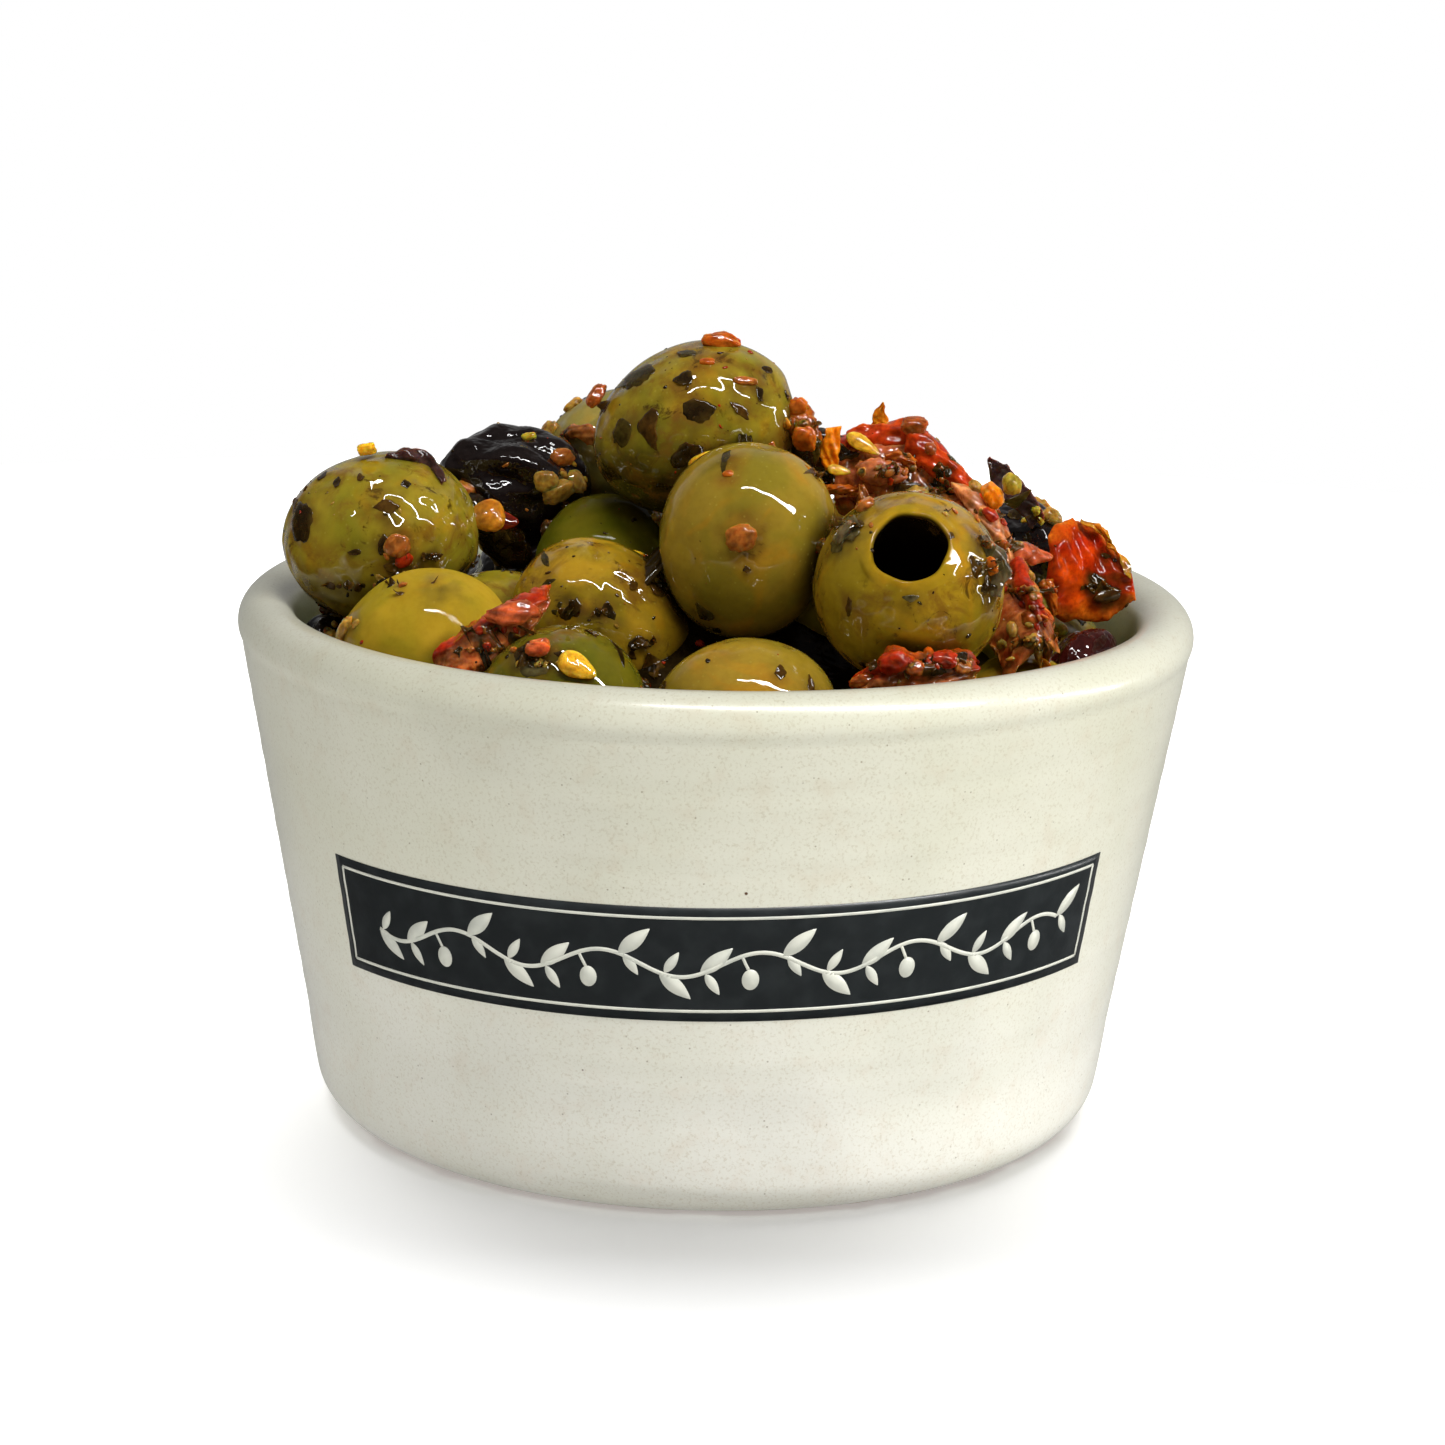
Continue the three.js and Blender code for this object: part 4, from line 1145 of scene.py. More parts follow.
def add_lump(soup, point, normal, size, spin, colour, seed, box=2.0, rough=0.3, sink=0.42, taper=0.0):
    """A crumb, cube or seed with its base sunk in the food. Size is its length, width and height."""
    length, width, height = size
    directions, faces = ball(int(np.clip(2.5 + 2.2 * length, 3, 10)))
    a, b = tangents(normal, spin)
    shape = directions / (np.sum(np.abs(directions) ** box, axis=1) ** (1 / box))[:, None]
    uneven = fractal(directions, 0.75, 3, seed) + 0.5 * fractal(directions, 0.3, 1, seed + 5)
    shape = shape * (1 + rough * uneven)[:, None]
    shape[:, 1:] *= 1 - taper * shape[:, :1]
    points = point + np.outer(shape[:, 0] * length / 2, a) + np.outer(shape[:, 1] * width / 2, b)
    points = points + np.outer((shape[:, 2] + 1 - 2 * sink) * height / 2, normal)
    shade = np.clip(1 + 0.5 * fractal(directions, 0.7, 2, seed + 1), 0.3, 2)
    brown = 0.35 * smooth_step(0.1, 0.5, fractal(directions, 0.8, 3, seed + 2))
    soup.add(points, faces, with_alpha(np.clip(blend(np.outer(shade, colour), BROWN, brown), 0, 1)))


# Leaf scraps in the photograph: pixel, width and height in pixels, turn in degrees, colour
FLAKES = [
    # on the top olive
    (647, 426, 30, 46, 12, BROWN), (622, 432, 34, 22, 28, LEAF), (697, 409, 37, 29, 18, DARK),
    (685, 379, 24, 17, -15, DARK), (636, 366, 46, 18, 22, LEAF), (685, 354, 28, 10, -12, LEAF),
    (766, 369, 13, 8, -35, DARK), (760, 394, 12, 20, 5, DARK), (684, 457, 48, 25, 22, DARK),
    (740, 410, 30, 9, -38, BROWN), (815, 446, 16, 40, 12, LEAF), (612, 372, 14, 12, 30, GREY),
    # on the middle olive
    (724, 461, 10, 24, -8, LEAF), (747, 569, 10, 8, 0, BROWN), (812, 472, 8, 16, -30, BROWN),
    (704, 614, 22, 17, 25, LEAF), (716, 630, 12, 10, 0, DARK),
    # on the pitted olive
    (848, 524, 26, 24, 10, GREY), (838, 545, 18, 16, 40, GREY), (988, 552, 18, 22, 30, GREY),
    (987, 586, 22, 16, -20, DARK), (849, 607, 10, 20, 0, BROWN), (908, 598, 22, 10, 5, GREY),
    (934, 525, 15, 26, 12, BROWN), (952, 535, 6, 10, 0, BROWN),
    # on the olive at the left
    (302, 519, 36, 34, 15, DARK), (383, 507, 30, 30, 20, BROWN), (384, 545, 16, 22, 0, DARK),
    (338, 482, 10, 10, 0, DARK), (404, 484, 14, 12, 20, DARK), (356, 552, 18, 6, 0, DARK),
    (392, 566, 20, 12, 10, BROWN), (358, 588, 12, 12, 0, BROWN), (318, 468, 16, 6, 30, DARK),
    (296, 502, 14, 14, 0, BROWN), (360, 478, 12, 10, 0, BROWN),
    # on the square olive
    (568, 612, 32, 30, 0, DARK), (610, 612, 24, 22, 0, DARK), (548, 583, 16, 5, 10, LEAF),
    (545, 560, 12, 16, 10, LEAF), (634, 585, 10, 12, 0, BROWN), (652, 664, 20, 26, 0, BROWN),
    (650, 566, 12, 40, 6, DARK), (592, 632, 18, 12, 10, BROWN),
    # at the front rim
    (535, 668, 34, 16, 10, GREY), (524, 654, 22, 16, 30, DARK), (560, 656, 16, 14, 0, DARK),
    (780, 672, 14, 16, 0, BROWN), (812, 688, 12, 18, 20, BROWN), (664, 686, 10, 10, 0, BROWN),
    (618, 650, 10, 20, 30, DARK), (632, 656, 10, 10, 30, BROWN),
    # on and beside the tomato
    (905, 489, 30, 14, 5, BROWN), (937, 484, 16, 12, 40, DARK), (846, 455, 20, 24, 60, DARK),
    (1098, 579, 18, 18, 20, DARK), (1107, 556, 14, 8, -10, BROWN), (960, 660, 30, 12, 5, DARK),
    (938, 672, 24, 10, 0, DARK), (1018, 498, 20, 30, -40, LEAF),
    # on the dark olives
    (566, 456, 22, 18, 0, DARK), (560, 482, 26, 12, 20, GREY), (1018, 512, 22, 18, 20, DARK),
    (500, 540, 20, 26, 20, DARK), (478, 520, 16, 14, 0, BROWN),
]

# Crumbs, cubes and lumps in the photograph: pixel, length and width in pixels, turn in degrees, height as a
# share of them, boxiness, colour
CRUMBS = [
    # on the olives at the back and the left
    (720, 344, 38, 17, 3, 0.8, 2.4, PEPPER), (732, 343, 16, 16, 30, 0.7, 2.6, RED),
    (707, 362, 16, 8, -5, 0.5, 2.6, PEPPER), (745, 381, 28, 9, 5, 0.4, 2.2, PINK),
    (592, 393, 26, 14, 20, 0.7, 3, RUSSET), (574, 405, 22, 12, 30, 0.6, 2.6, GARLIC),
    (804, 438, 24, 26, 10, 0.6, 2.6, PEPPER), (797, 407, 22, 16, 20, 0.6, 2.4, PEPPER),
    (366, 446, 17, 13, 10, 0.8, 5, YELLOW), (466, 490, 22, 18, -10, 0.8, 5, PINK),
    (397, 546, 26, 24, 0, 0.4, 2.2, PINK), (404, 560, 18, 14, 30, 0.5, 2.2, RED),
    (551, 432, 24, 18, 10, 0.8, 2.2, GARLIC), (529, 437, 15, 9, 10, 0.7, 2.4, LIME),
    (561, 458, 24, 19, 20, 0.6, 2.4, PINK), (558, 492, 36, 24, 10, 0.5, 2.2, GARLIC),
    (576, 482, 26, 26, -20, 0.5, 2.2, GARLIC), (546, 481, 24, 22, 0, 0.5, 2.2, GARLIC),
    # on the middle, pitted and front olives
    (741, 538, 32, 28, 10, 0.5, 2.2, PINK), (728, 474, 12, 8, 0, 0.5, 2.2, PEPPER),
    (845, 533, 30, 20, 30, 0.5, 2.2, PASTE), (991, 566, 16, 20, 20, 0.5, 2.4, PEPPER),
    (345, 631, 30, 15, 25, 0.6, 2.4, GARLIC), (330, 636, 16, 12, 0, 0.6, 2.4, GARLIC),
    (538, 648, 26, 15, 10, 0.7, 2.4, LOBE), (722, 700, 12, 7, 0, 0.6, 2.2, AMBER),
    (700, 644, 10, 8, 0, 0.7, 2.2, RED),
    # on and beside the tomato
    (914, 427, 26, 19, 5, 0.8, 2.6, RUSSET), (930, 449, 12, 14, 5, 0.8, 2.2, RUSSET),
    (846, 505, 22, 22, 0, 0.6, 2.2, RUSSET), (866, 506, 20, 22, 0, 0.6, 2.6, PINK),
    (994, 495, 25, 22, 20, 0.8, 3, ORANGE), (975, 487, 18, 14, 30, 0.6, 2.6, GARLIC),
    (990, 515, 18, 14, -40, 0.6, 2.2, RED), (1022, 478, 20, 22, 60, 0.9, 2.2, LIME),
    (1051, 518, 25, 18, 10, 0.8, 2.2, GARLIC), (1013, 630, 12, 18, 10, 0.7, 2.4, GARLIC),
    (1060, 630, 14, 18, 10, 0.7, 2.4, LIME), (1030, 576, 12, 12, 10, 0.7, 2.2, GARLIC),
    (1108, 595, 32, 16, 10, 0.6, 2.4, BROWN), (893, 662, 32, 24, 30, 0.8, 2.4, RED),
    (863, 681, 26, 13, 10, 0.7, 2.4, RUSSET), (914, 668, 20, 16, 0, 0.7, 2.4, RUSSET),
    (944, 660, 26, 20, 0, 0.7, 2.4, RED), (962, 668, 20, 14, 10, 0.7, 2.4, PINK),
]

# Seeds in the photograph: pixel, length and width in pixels, turn, Y where one lies between pieces, colour
SEEDS = [
    (577, 668, 42, 27, -25, None, YELLOW), (863, 445, 38, 16, -35, -3.6, YELLOW),
    (839, 471, 24, 11, -12, -5.2, YELLOW), (486, 518, 38, 34, 190, -4.5, GOLDEN),
    (504, 522, 30, 20, -6, -3, DEEP_RED), (1046, 664, 14, 12, 0, None, AMBER),
]
SEED_SHAPE = dict(rough=0.05, sink=0.2, taper=0.35)

# The brown halo round a thing: its radius as a share of the thing's size, and its strength
FLAKE_HALO, CRUMB_HALO, LUMP_HALO = (0.78, 0.6), (0.85, 0.8), (0.9, 0.35)


def lay_photographed(ground, flakes, crumbs, seeds, stains):
    for x, y, radius, colour, strength in SMEARS:
        point, _ = ground.at_pixel(x, y)
        stains.append((point, radius * mm_per_pixel(point), colour, strength))
    for k, (x, y, w, h, turn, colour) in enumerate(FLAKES):
        point, normal = ground.at_pixel(x, y)
        scale = mm_per_pixel(point)
        stretch = 1 / max(0.45, abs(np.dot(normal, unit(EYE - point))))
        size = w * scale, h * scale * stretch
        add_flake(flakes, ground, point, normal, *size, across_view(normal, turn), colour, k + 1)
        add_halo(stains, point, max(w, h) * scale, FLAKE_HALO)
    for k, (x, y, w, h, turn, high, box, colour) in enumerate(CRUMBS):
        point, normal = ground.at_pixel(x, y, beyond=0.7)
        scale = mm_per_pixel(point)
        size = w * scale, h * scale, high * math.sqrt(w * h) * scale
        add_lump(crumbs, point, normal, size, across_view(normal, turn), colour, k + 200, box=box, rough=0.17)
        add_halo(stains, point, max(w, h) * scale, CRUMB_HALO)
    for k, (x, y, w, h, turn, depth, colour) in enumerate(SEEDS):
        point, normal = ground.at_pixel(x, y)
        if depth is not None:
            point, normal = pixel_point(x, y, depth), unit(UP * 0.5 - sight(x, y))
        scale = mm_per_pixel(point)
        size = w * scale, h * scale, 0.45 * h * scale
        add_lump(seeds, point, normal, size, across_view(normal, turn), colour, k + 400, **SEED_SHAPE)


def add_halo(stains, point, size, halo):
    stains.append((point, halo[0] * size, BROWN, halo[1]))


# Clusters of paste: pixel, half width and half height, how many lumps, their size, all in pixels, colours
CLUSTERS = [
    (566, 480, 22, 20, 6, (6, 12), (GARLIC, GARLIC, PINK)),
    (845, 524, 17, 20, 10, (6, 12), (PASTE, BROWN, GREY, PASTE)),
    (986, 566, 16, 30, 14, (6, 13), (PASTE, BROWN, GREY, DARK)),
    (884, 472, 26, 12, 10, (6, 12), (PINK, BROWN, PINK)),
    (937, 490, 18, 14, 24, (4, 9), (PINK, GARLIC, BROWN, RED, GREY)),
    (970, 512, 30, 10, 12, (5, 10), (PINK, GARLIC, BROWN, RED)),
    (1034, 606, 20, 30, 10, (5, 10), (RED, PEPPER, PINK, GARLIC)),
    (1022, 644, 24, 18, 12, (6, 13), (GARLIC, PINK, BROWN)),
    (400, 556, 18, 14, 6, (5, 10), (PINK, BROWN, RED)),
    (900, 468, 50, 14, 26, (5, 11), (PINK, RED, BROWN, RUSSET)),
    (1000, 545, 22, 34, 26, (5, 11), (PINK, RED, RUSSET, BROWN)),
    (1030, 590, 26, 40, 26, (5, 11), (RED, PINK, RUSSET, BROWN)),
    (1040, 640, 22, 20, 14, (5, 10), (BROWN, RUSSET, PINK)),
    (500, 630, 40, 18, 16, (5, 11), (PINK, RED, BROWN)),
    (905, 665, 44, 12, 14, (5, 11), (RED, BROWN, PINK)),
    (584, 612, 34, 16, 14, (4, 10), (DARK, BROWN, LEAF)),
    (540, 664, 26, 10, 14, (6, 12), (DARK, BROWN, GARLIC)),
    (490, 650, 40, 16, 16, (5, 11), (DARK, BROWN, DARK, PINK)),
    (344, 630, 18, 10, 5, (6, 12), (GARLIC, PINK)),
    (944, 662, 34, 12, 14, (6, 12), (RED, BROWN, PINK, DARK)),
    (800, 424, 15, 26, 18, (7, 14), (PEPPER, BROWN, AMBER, RUSSET)),
    (1040, 520, 20, 10, 7, (6, 12), (LIME, BROWN)),
    (590, 396, 18, 9, 6, (6, 12), (PINK, PEPPER, BROWN)),
    (826, 476, 12, 16, 8, (6, 12), (BROWN, DARK)),
    (1098, 588, 20, 14, 10, (6, 12), (BROWN, DARK)),
    (640, 642, 14, 22, 10, (5, 11), (DARK, BROWN)),
    (430, 556, 10, 44, 12, (4, 9), (BROWN, DARK)),
    (370, 585, 46, 16, 14, (4, 9), (BROWN, DARK, PINK)),
]

# Soft stains in the photograph: pixel, radius in pixels, colour and strength
SMEARS = [
    (708, 361, 15, PEPPER, 0.8), (746, 382, 14, PINK, 0.7), (790, 430, 22, RUSSET, 0.8),
    (690, 384, 12, BROWN, 0.6), (741, 538, 20, RUSSET, 0.6), (728, 474, 12, PEPPER, 0.6),
    (700, 620, 22, BROWN, 0.6), (844, 530, 26, GREY, 1.0), (986, 556, 24, GREY, 1.2),
    (988, 588, 22, BROWN, 1.2), (1000, 540, 20, PINK, 0.5), (900, 608, 20, BROWN, 0.3),
    (414, 552, 30, BROWN, 0.9), (398, 548, 18, RED, 0.6), (300, 520, 24, DARK, 0.7),
    (384, 508, 20, BROWN, 0.7), (576, 612, 24, DARK, 0.7), (610, 612, 18, DARK, 0.7),
    (640, 580, 22, BROWN, 0.6), (440, 590, 24, DARK, 0.7), (330, 600, 30, BROWN, 0.5),
    (600, 470, 26, DARK, 0.8), (1058, 558, 22, DEEP_RED, 1.1), (1062, 598, 18, DEEP_RED, 0.8),
    (1098, 580, 13, DARK, 1.2), (1106, 595, 14, BROWN, 1.1), (905, 489, 14, DARK, 1.0),
    (846, 470, 14, DARK, 1.0), (487, 640, 16, DARK, 1.2), (930, 672, 20, DARK, 1.0),
    (940, 492, 14, GREY, 0.7), (1040, 640, 16, BROWN, 0.8),
]

# Torn scraps: thickness in mm, seed, colour, Y at both ends where it doesn't follow the food behind it, and
# then a middle line: pixel, lift above the food in mm, width in pixels and the direction across in degrees
SCRAPS = [
    (1.2, 40, SHEET, (-0.7, -0.7), (846, 438, 0.8, 20, 85), (864, 439, 1.2, 28, 88), (888, 438, 1.4, 33, 90),
     (910, 437, 1.2, 34, 92), (928, 441, 0.5, 22, 84)),  # top sheet
    (1.1, 49, SHEET, (-2.6, -4.0), (906, 440, 1.6, 30, 80), (924, 452, 1.7, 33, 58), (946, 470, 1.6, 27, 48),
     (970, 490, 1.2, 19, 48), (992, 510, 0.3, 9, 48)),  # band
    (3.0, 62, DARK, (-1, -1), (872, 474, -1, 44, 90), (850, 468, -1, 60, 88), (826, 462, -1, 62, 86),
     (790, 452, -1, 58, 86)),  # dark backing: painted shade in the gap behind the tomato
    (0.9, 41, ORANGE, (-3.4, -3.4), (832, 470, 0.6, 16, 0), (830, 448, 0.9, 21, 4),
     (833, 427, 0.5, 13, 8)),  # pepper flap
    (0.7, 42, SPIKE, (0.9, 0.9), (880, 430, 0.6, 24, 0), (880, 418, 0.6, 17, 0),
     (883, 402, 0.6, 1.5, 0)),  # pepper spike
    (1.2, 53, PEPPER, None, (886, 460, 1.2, 8, 90), (898, 457, 1.9, 13, 85),
     (914, 466, 1.4, 6, 60)),  # orange curl
    (1.5, 54, FLESHY, None, (858, 470, 0.8, 18, 90), (872, 472, 1.5, 26, 88), (890, 474, 1.3, 24, 84),
     (906, 478, 0.6, 10, 80)),  # pink lump
    (1.0, 43, PEPPER, (-4.4, -4.4), (824, 489, 0.8, 9, 90), (840, 489, 1.3, 11, 88),
     (858, 490, 0.8, 8, 84)),  # red strip
    (1.3, 44, PINK, (-6, -4.6), (866, 512, 0.8, 17, 0), (864, 499, 1.6, 13, 0),
     (861, 486, 1.4, 6, 0)),  # pepper finger
    (1.1, 55, PALE, None, (950, 482, 0.3, 10, 50), (970, 502, 0.8, 18, 48), (990, 526, 0.9, 17, 48),
     (1004, 548, 0.6, 12, 30), (1010, 570, 0.3, 8, 10)),  # pale fold
    (1.4, 56, LOBE, (-10, -6), (1010, 552, 0.5, 20, 80), (1028, 553, 1.1, 26, 84),
     (1050, 558, 0.8, 9, 90)),  # pink lobe
    (1.2, 57, RED, None, (1016, 560, 0.6, 15, 20), (1022, 580, 1.2, 19, 16), (1032, 602, 1.1, 17, 20),
     (1040, 622, 0.4, 9, 20)),  # red band
    (1.6, 58, PEPPER, None, (1048, 580, 0.8, 10, 10), (1052, 596, 1.4, 14, 8),
     (1054, 614, 0.9, 8, 0)),  # orange lobe
    (1.5, 59, RUSSET, (-17.5, -15.5), (1026, 612, 0.4, 10, 30), (1034, 628, 1.0, 22, 20),
     (1044, 646, 0.9, 20, 14), (1046, 664, 0.5, 8, 10)),  # brown lobe
    (1.2, 60, GARLIC, (-19, -17), (1030, 636, 0.8, 12, 10), (1038, 650, 1.4, 14, 0),
     (1040, 666, 0.9, 5, 0)),  # tan tip
    (0.9, 46, PINK, (11, 7), (563, 433, 0.3, 10, 84), (582, 433, 0.6, 19, 84),
     (604, 441, 0.4, 13, 70)),  # pink strip
    (0.5, 47, PURPLE, None, (386, 446, 0.1, 8, 60), (405, 449, 0.25, 16, 58), (426, 463, 0.25, 17, 48),
     (442, 484, 0.1, 7, 40)),  # purple skin
    (0.7, 48, PURPLE, (9, 6), (1038, 522, 0.5, 14, 40), (1026, 504, 0.7, 24, 40), (1010, 488, 1.0, 23, 48),
     (998, 475, 1.0, 26, 60), (988, 461, 1.0, 9, 75)),  # leaf curl
    (1.4, 51, LOBE, None, (488, 618, 0.4, 14, 90), (506, 614, 0.9, 26, 84), (528, 612, 0.7, 22, 80),
     (542, 616, 0.2, 8, 70)),  # front lobe
    (1.4, 61, LOBE, None, (526, 652, 0.4, 14, 90), (538, 648, 0.9, 17, 84),
     (550, 648, 0.4, 8, 80)),  # front bump
    (1.3, 52, RED, (-34, -36.6), (850, 684, 0.5, 8, 80), (872, 672, 0.9, 18, 80), (898, 660, 1.0, 22, 85),
     (914, 664, 0.3, 10, 80)),  # front tip
    (3.0, 66, DARK, (-2, 3), (470, 498, 0, 16, 10), (484, 518, 0, 44, 20), (500, 538, 0, 48, 10),
     (514, 566, 0, 40, 0)),  # paste left
    (2.2, 64, PEPPER, (-3.6, -5), (796, 400, 0.2, 14, 10), (799, 414, 0.8, 32, 8), (803, 432, 1.0, 36, 4),
     (808, 448, 0.5, 22, 0)),  # pepper mass
    (1.0, 65, PASTE, None, (980, 536, 0.1, 10, 0), (990, 554, 0.4, 26, 4), (996, 574, 0.5, 26, 0),
     (992, 596, 0.1, 12, -6)),  # herb patch
    (0.8, 63, GOLDEN, None, (1080, 524, 0.5, 8, 150), (1098, 532, 1.0, 13, 140), (1112, 545, 1.0, 14, 125),
     (1122, 560, 0.6, 10, 110), (1128, 576, 0.2, 5, 100)),  # pepper rim
]
SMOOTH = (SHEET, ORANGE, SPIKE, GOLDEN, RED, PURPLE)  # colours of scraps of skin


def lay_scraps(ground, stains):
    """Torn pieces of tomato, pepper and leaf, smaller than those with a solid of their own. Returns a soup of
    smooth ones and one of fleshy ones."""
    smooth, fleshy = Soup(), Soup()
    for thickness, seed, colour, ends, *line in SCRAPS:
        stations = []
        for k, (x, y, lift, width, turn) in enumerate(line):
            if ends:
                point, normal = pixel_point(x, y, np.interp(k, (0, len(line) - 1), ends)), -sight(x, y)
            else:
                point, normal = ground.at_pixel(x, y)
                stains.append((point, 1.6, BROWN, 0.6))
            side = RIGHT * math.cos(math.radians(turn)) + ABOVE * math.sin(math.radians(turn))
            stations.append((point + normal * 0.3 - sight(x, y) * lift, side, width * mm_per_pixel(point)))
        strip = dict(stations=stations, thickness=thickness, crumple=0.2, drape=0.3, seed=seed)
        soup, fine = (smooth, 0.04) if colour in SMOOTH else (fleshy, 0.15)
        points, faces, _, v = strip_shape(strip, 40, 16, 0.35, fine, fine_mm=1.6)
        tint = np.outer(np.clip(1 + 0.4 * fractal(points, 2.2, 3, seed), 0.4, 2), colour)
        dark = 0.6 * smooth_step(0.05, 0.4, fractal(points, 1.6, 3, seed + 3))
        thin = 0.4 * smooth_step(0.7, 1, np.abs(v)) * (not leafy(colour))
        soup.add(points, faces, with_alpha(blend(blend(tint, PEPPER, thin), tint * 0.3, dark)))
    return smooth, fleshy


def leafy(colour):
    return max(colour) < LEAFY_BELOW


def lay_clusters(ground, crumbs, flakes, stains):
    rng = np.random.default_rng(5)
    for x, y, across, up, count, sizes, colours in CLUSTERS:
        for k in range(count):
            reach, turn = math.sqrt(rng.random()), rng.uniform(0, TURN)
            out, rise = across * reach * math.cos(turn), up * reach * math.sin(turn)
            point, normal = ground.at_pixel(x + out, y + rise)
            size = rng.uniform(*sizes) * mm_per_pixel(point)
            shape = size, size * rng.uniform(0.4, 1), size * rng.uniform(0.3, 0.7)
            spin, box, seed = rng.uniform(0, TURN), rng.uniform(2, 3.2), int(rng.integers(1e6))
            colour = colours[k % len(colours)]
            if leafy(colour):
                # From its first leaf on a cluster stays in a row: up is then a unit vector, so below a pixel
                up = unit(normal + 0.35 * rng.normal(size=3))
                add_flake(flakes, ground, point, up, shape[0] * 1.5, shape[1] * 1.5, spin, colour, seed,
                          curl=0.8, rings=3, spokes=14)
            else:
                add_lump(crumbs, point, normal, shape, spin, colour, seed, box=box, rough=0.4)
            add_halo(stains, point, size, LUMP_HALO)


def fill_gaps(ground, crumbs, flakes):
    """Herbs and paste that gather where olives touch."""
    rng = np.random.default_rng(21)
    colours = [DARK, BROWN, DARK, LEAF, PINK, BROWN, DARK, GARLIC]
    for middle, axis, radius in touching_olives():
        a, b = tangents(axis)
        for _ in range(13):
            turn = rng.uniform(0, TURN)
            out = a * math.cos(turn) + b * math.sin(turn)
            place = middle + out * (radius + rng.uniform(0.2, 1.4))
            if ground.cast(place + out * 0.8, out, 6) is not None or out[2] < -0.6:
                continue
            point, normal, gap = ground.nearest(place)
            if gap > 2 or point[2] < GAP_FROM_Z:
                continue
            up = unit(out + 0.4 * normal)
            size = rng.uniform(0.6, 1.9)
            colour = colours[int(rng.integers(8))]
            if rng.random() < 0.35:
                add_flake(flakes, ground, point, up, size * 1.5, size, rng.uniform(0, TURN), colour,
                          int(rng.integers(1e6)), rings=3, spokes=12)
            else:
                add_lump(crumbs, point, up, (size, size * 0.7, size * 0.5), rng.uniform(0, TURN), colour,
                         int(rng.integers(1e6)), box=rng.uniform(2, 3.2), rough=0.4)


def across_view(normal, degrees):
    """Spin about a normal at which a thing's length points to the right in the picture, turned by degrees."""
    a, b = tangents(normal)
    return math.atan2(np.dot(RIGHT, b), np.dot(RIGHT, a)) + math.radians(degrees)


def random_spots(ground, rng, count, unseen_only):
    """Places spread over the heap, as seen from all round and above."""
    spots = []
    while len(spots) < count:
        azimuth, rise = rng.uniform(0, 2 * math.pi), rng.uniform(0.02, 1)
        flat = math.sqrt(1 - rise ** 2)
        out = np.array([flat * math.cos(azimuth), flat * math.sin(azimuth), rise])
        start = np.array([0, 0, 50.0]) + out * 80 + rng.normal(0, 12, 3)
        found = ground.cast(start, -out, 90)
        if found is None or found[0][2] < HEAP_FROM_Z or np.hypot(*found[0][:2]) > HEAP_RADIUS:
            continue
        if not (unseen_only and ground.open_to_eye(*found)):
            spots.append(found)
    return spots


def lay_unseen(ground, flakes, crumbs, seeds):
    """The same mix of leaf, crumbs and seeds where the photograph doesn't look."""
    rng = np.random.default_rng(12)
    leaves = [LEAF, DARK, BROWN, DARK, LEAF, GREY]
    for k, (point, normal) in enumerate(random_spots(ground, rng, 190, True)):
        size = rng.uniform(1.2, 3.6)
        add_flake(flakes, ground, point, normal, size, size * rng.uniform(0.5, 1), rng.uniform(0, TURN),
                  leaves[k % 6], k + 600, rings=4, spokes=16)
    lumps = [PINK, GARLIC, RUSSET, PINK, PASTE, GARLIC, BROWN, AMBER]
    for k, (point, normal) in enumerate(random_spots(ground, rng, 120, True)):
        size = 0.6 + 2.4 * rng.random() ** 2
        shape = size, size * rng.uniform(0.6, 1), size * rng.uniform(0.4, 0.7)
        add_lump(crumbs, point, normal, shape, rng.uniform(0, TURN), lumps[k % 8], k + 900,
                 box=rng.uniform(2, 3.4))
    for k, (point, normal) in enumerate(random_spots(ground, rng, 12, True)):
        add_lump(seeds, point, normal, (3, 1.9, 0.9), rng.uniform(0, TURN), (YELLOW, AMBER)[k % 2], k + 1200,
                 **SEED_SHAPE)


def grit_at(point):
    """How much grit the film carries on the olive that a point is on."""
    name = min(OLIVES, key=lambda k: np.linalg.norm(point - np.array(OLIVES[k][0])) / OLIVES[k][2])
    return OLIVES[name][4].get("grit", 0.4)


def add_specks(ground, specks):
    rng = np.random.default_rng(31)
    colours = [DARK, BROWN, RED, DARK, PINK, LEAF, GARLIC, BROWN]
    for k, (point, normal) in enumerate(random_spots(ground, rng, 1500, False)):
        size = 0.15 + 0.55 * rng.random() ** 2
        shape = size, size * rng.uniform(0.4, 0.9), size * 0.4
        if rng.random() < grit_at(point):
            add_lump(specks, point, normal, shape, rng.uniform(0, TURN), colours[k % 8], k, box=3, rough=0.5,
                     sink=0.45)


# --- Studio -----------------------------------------------------------------------------------------------

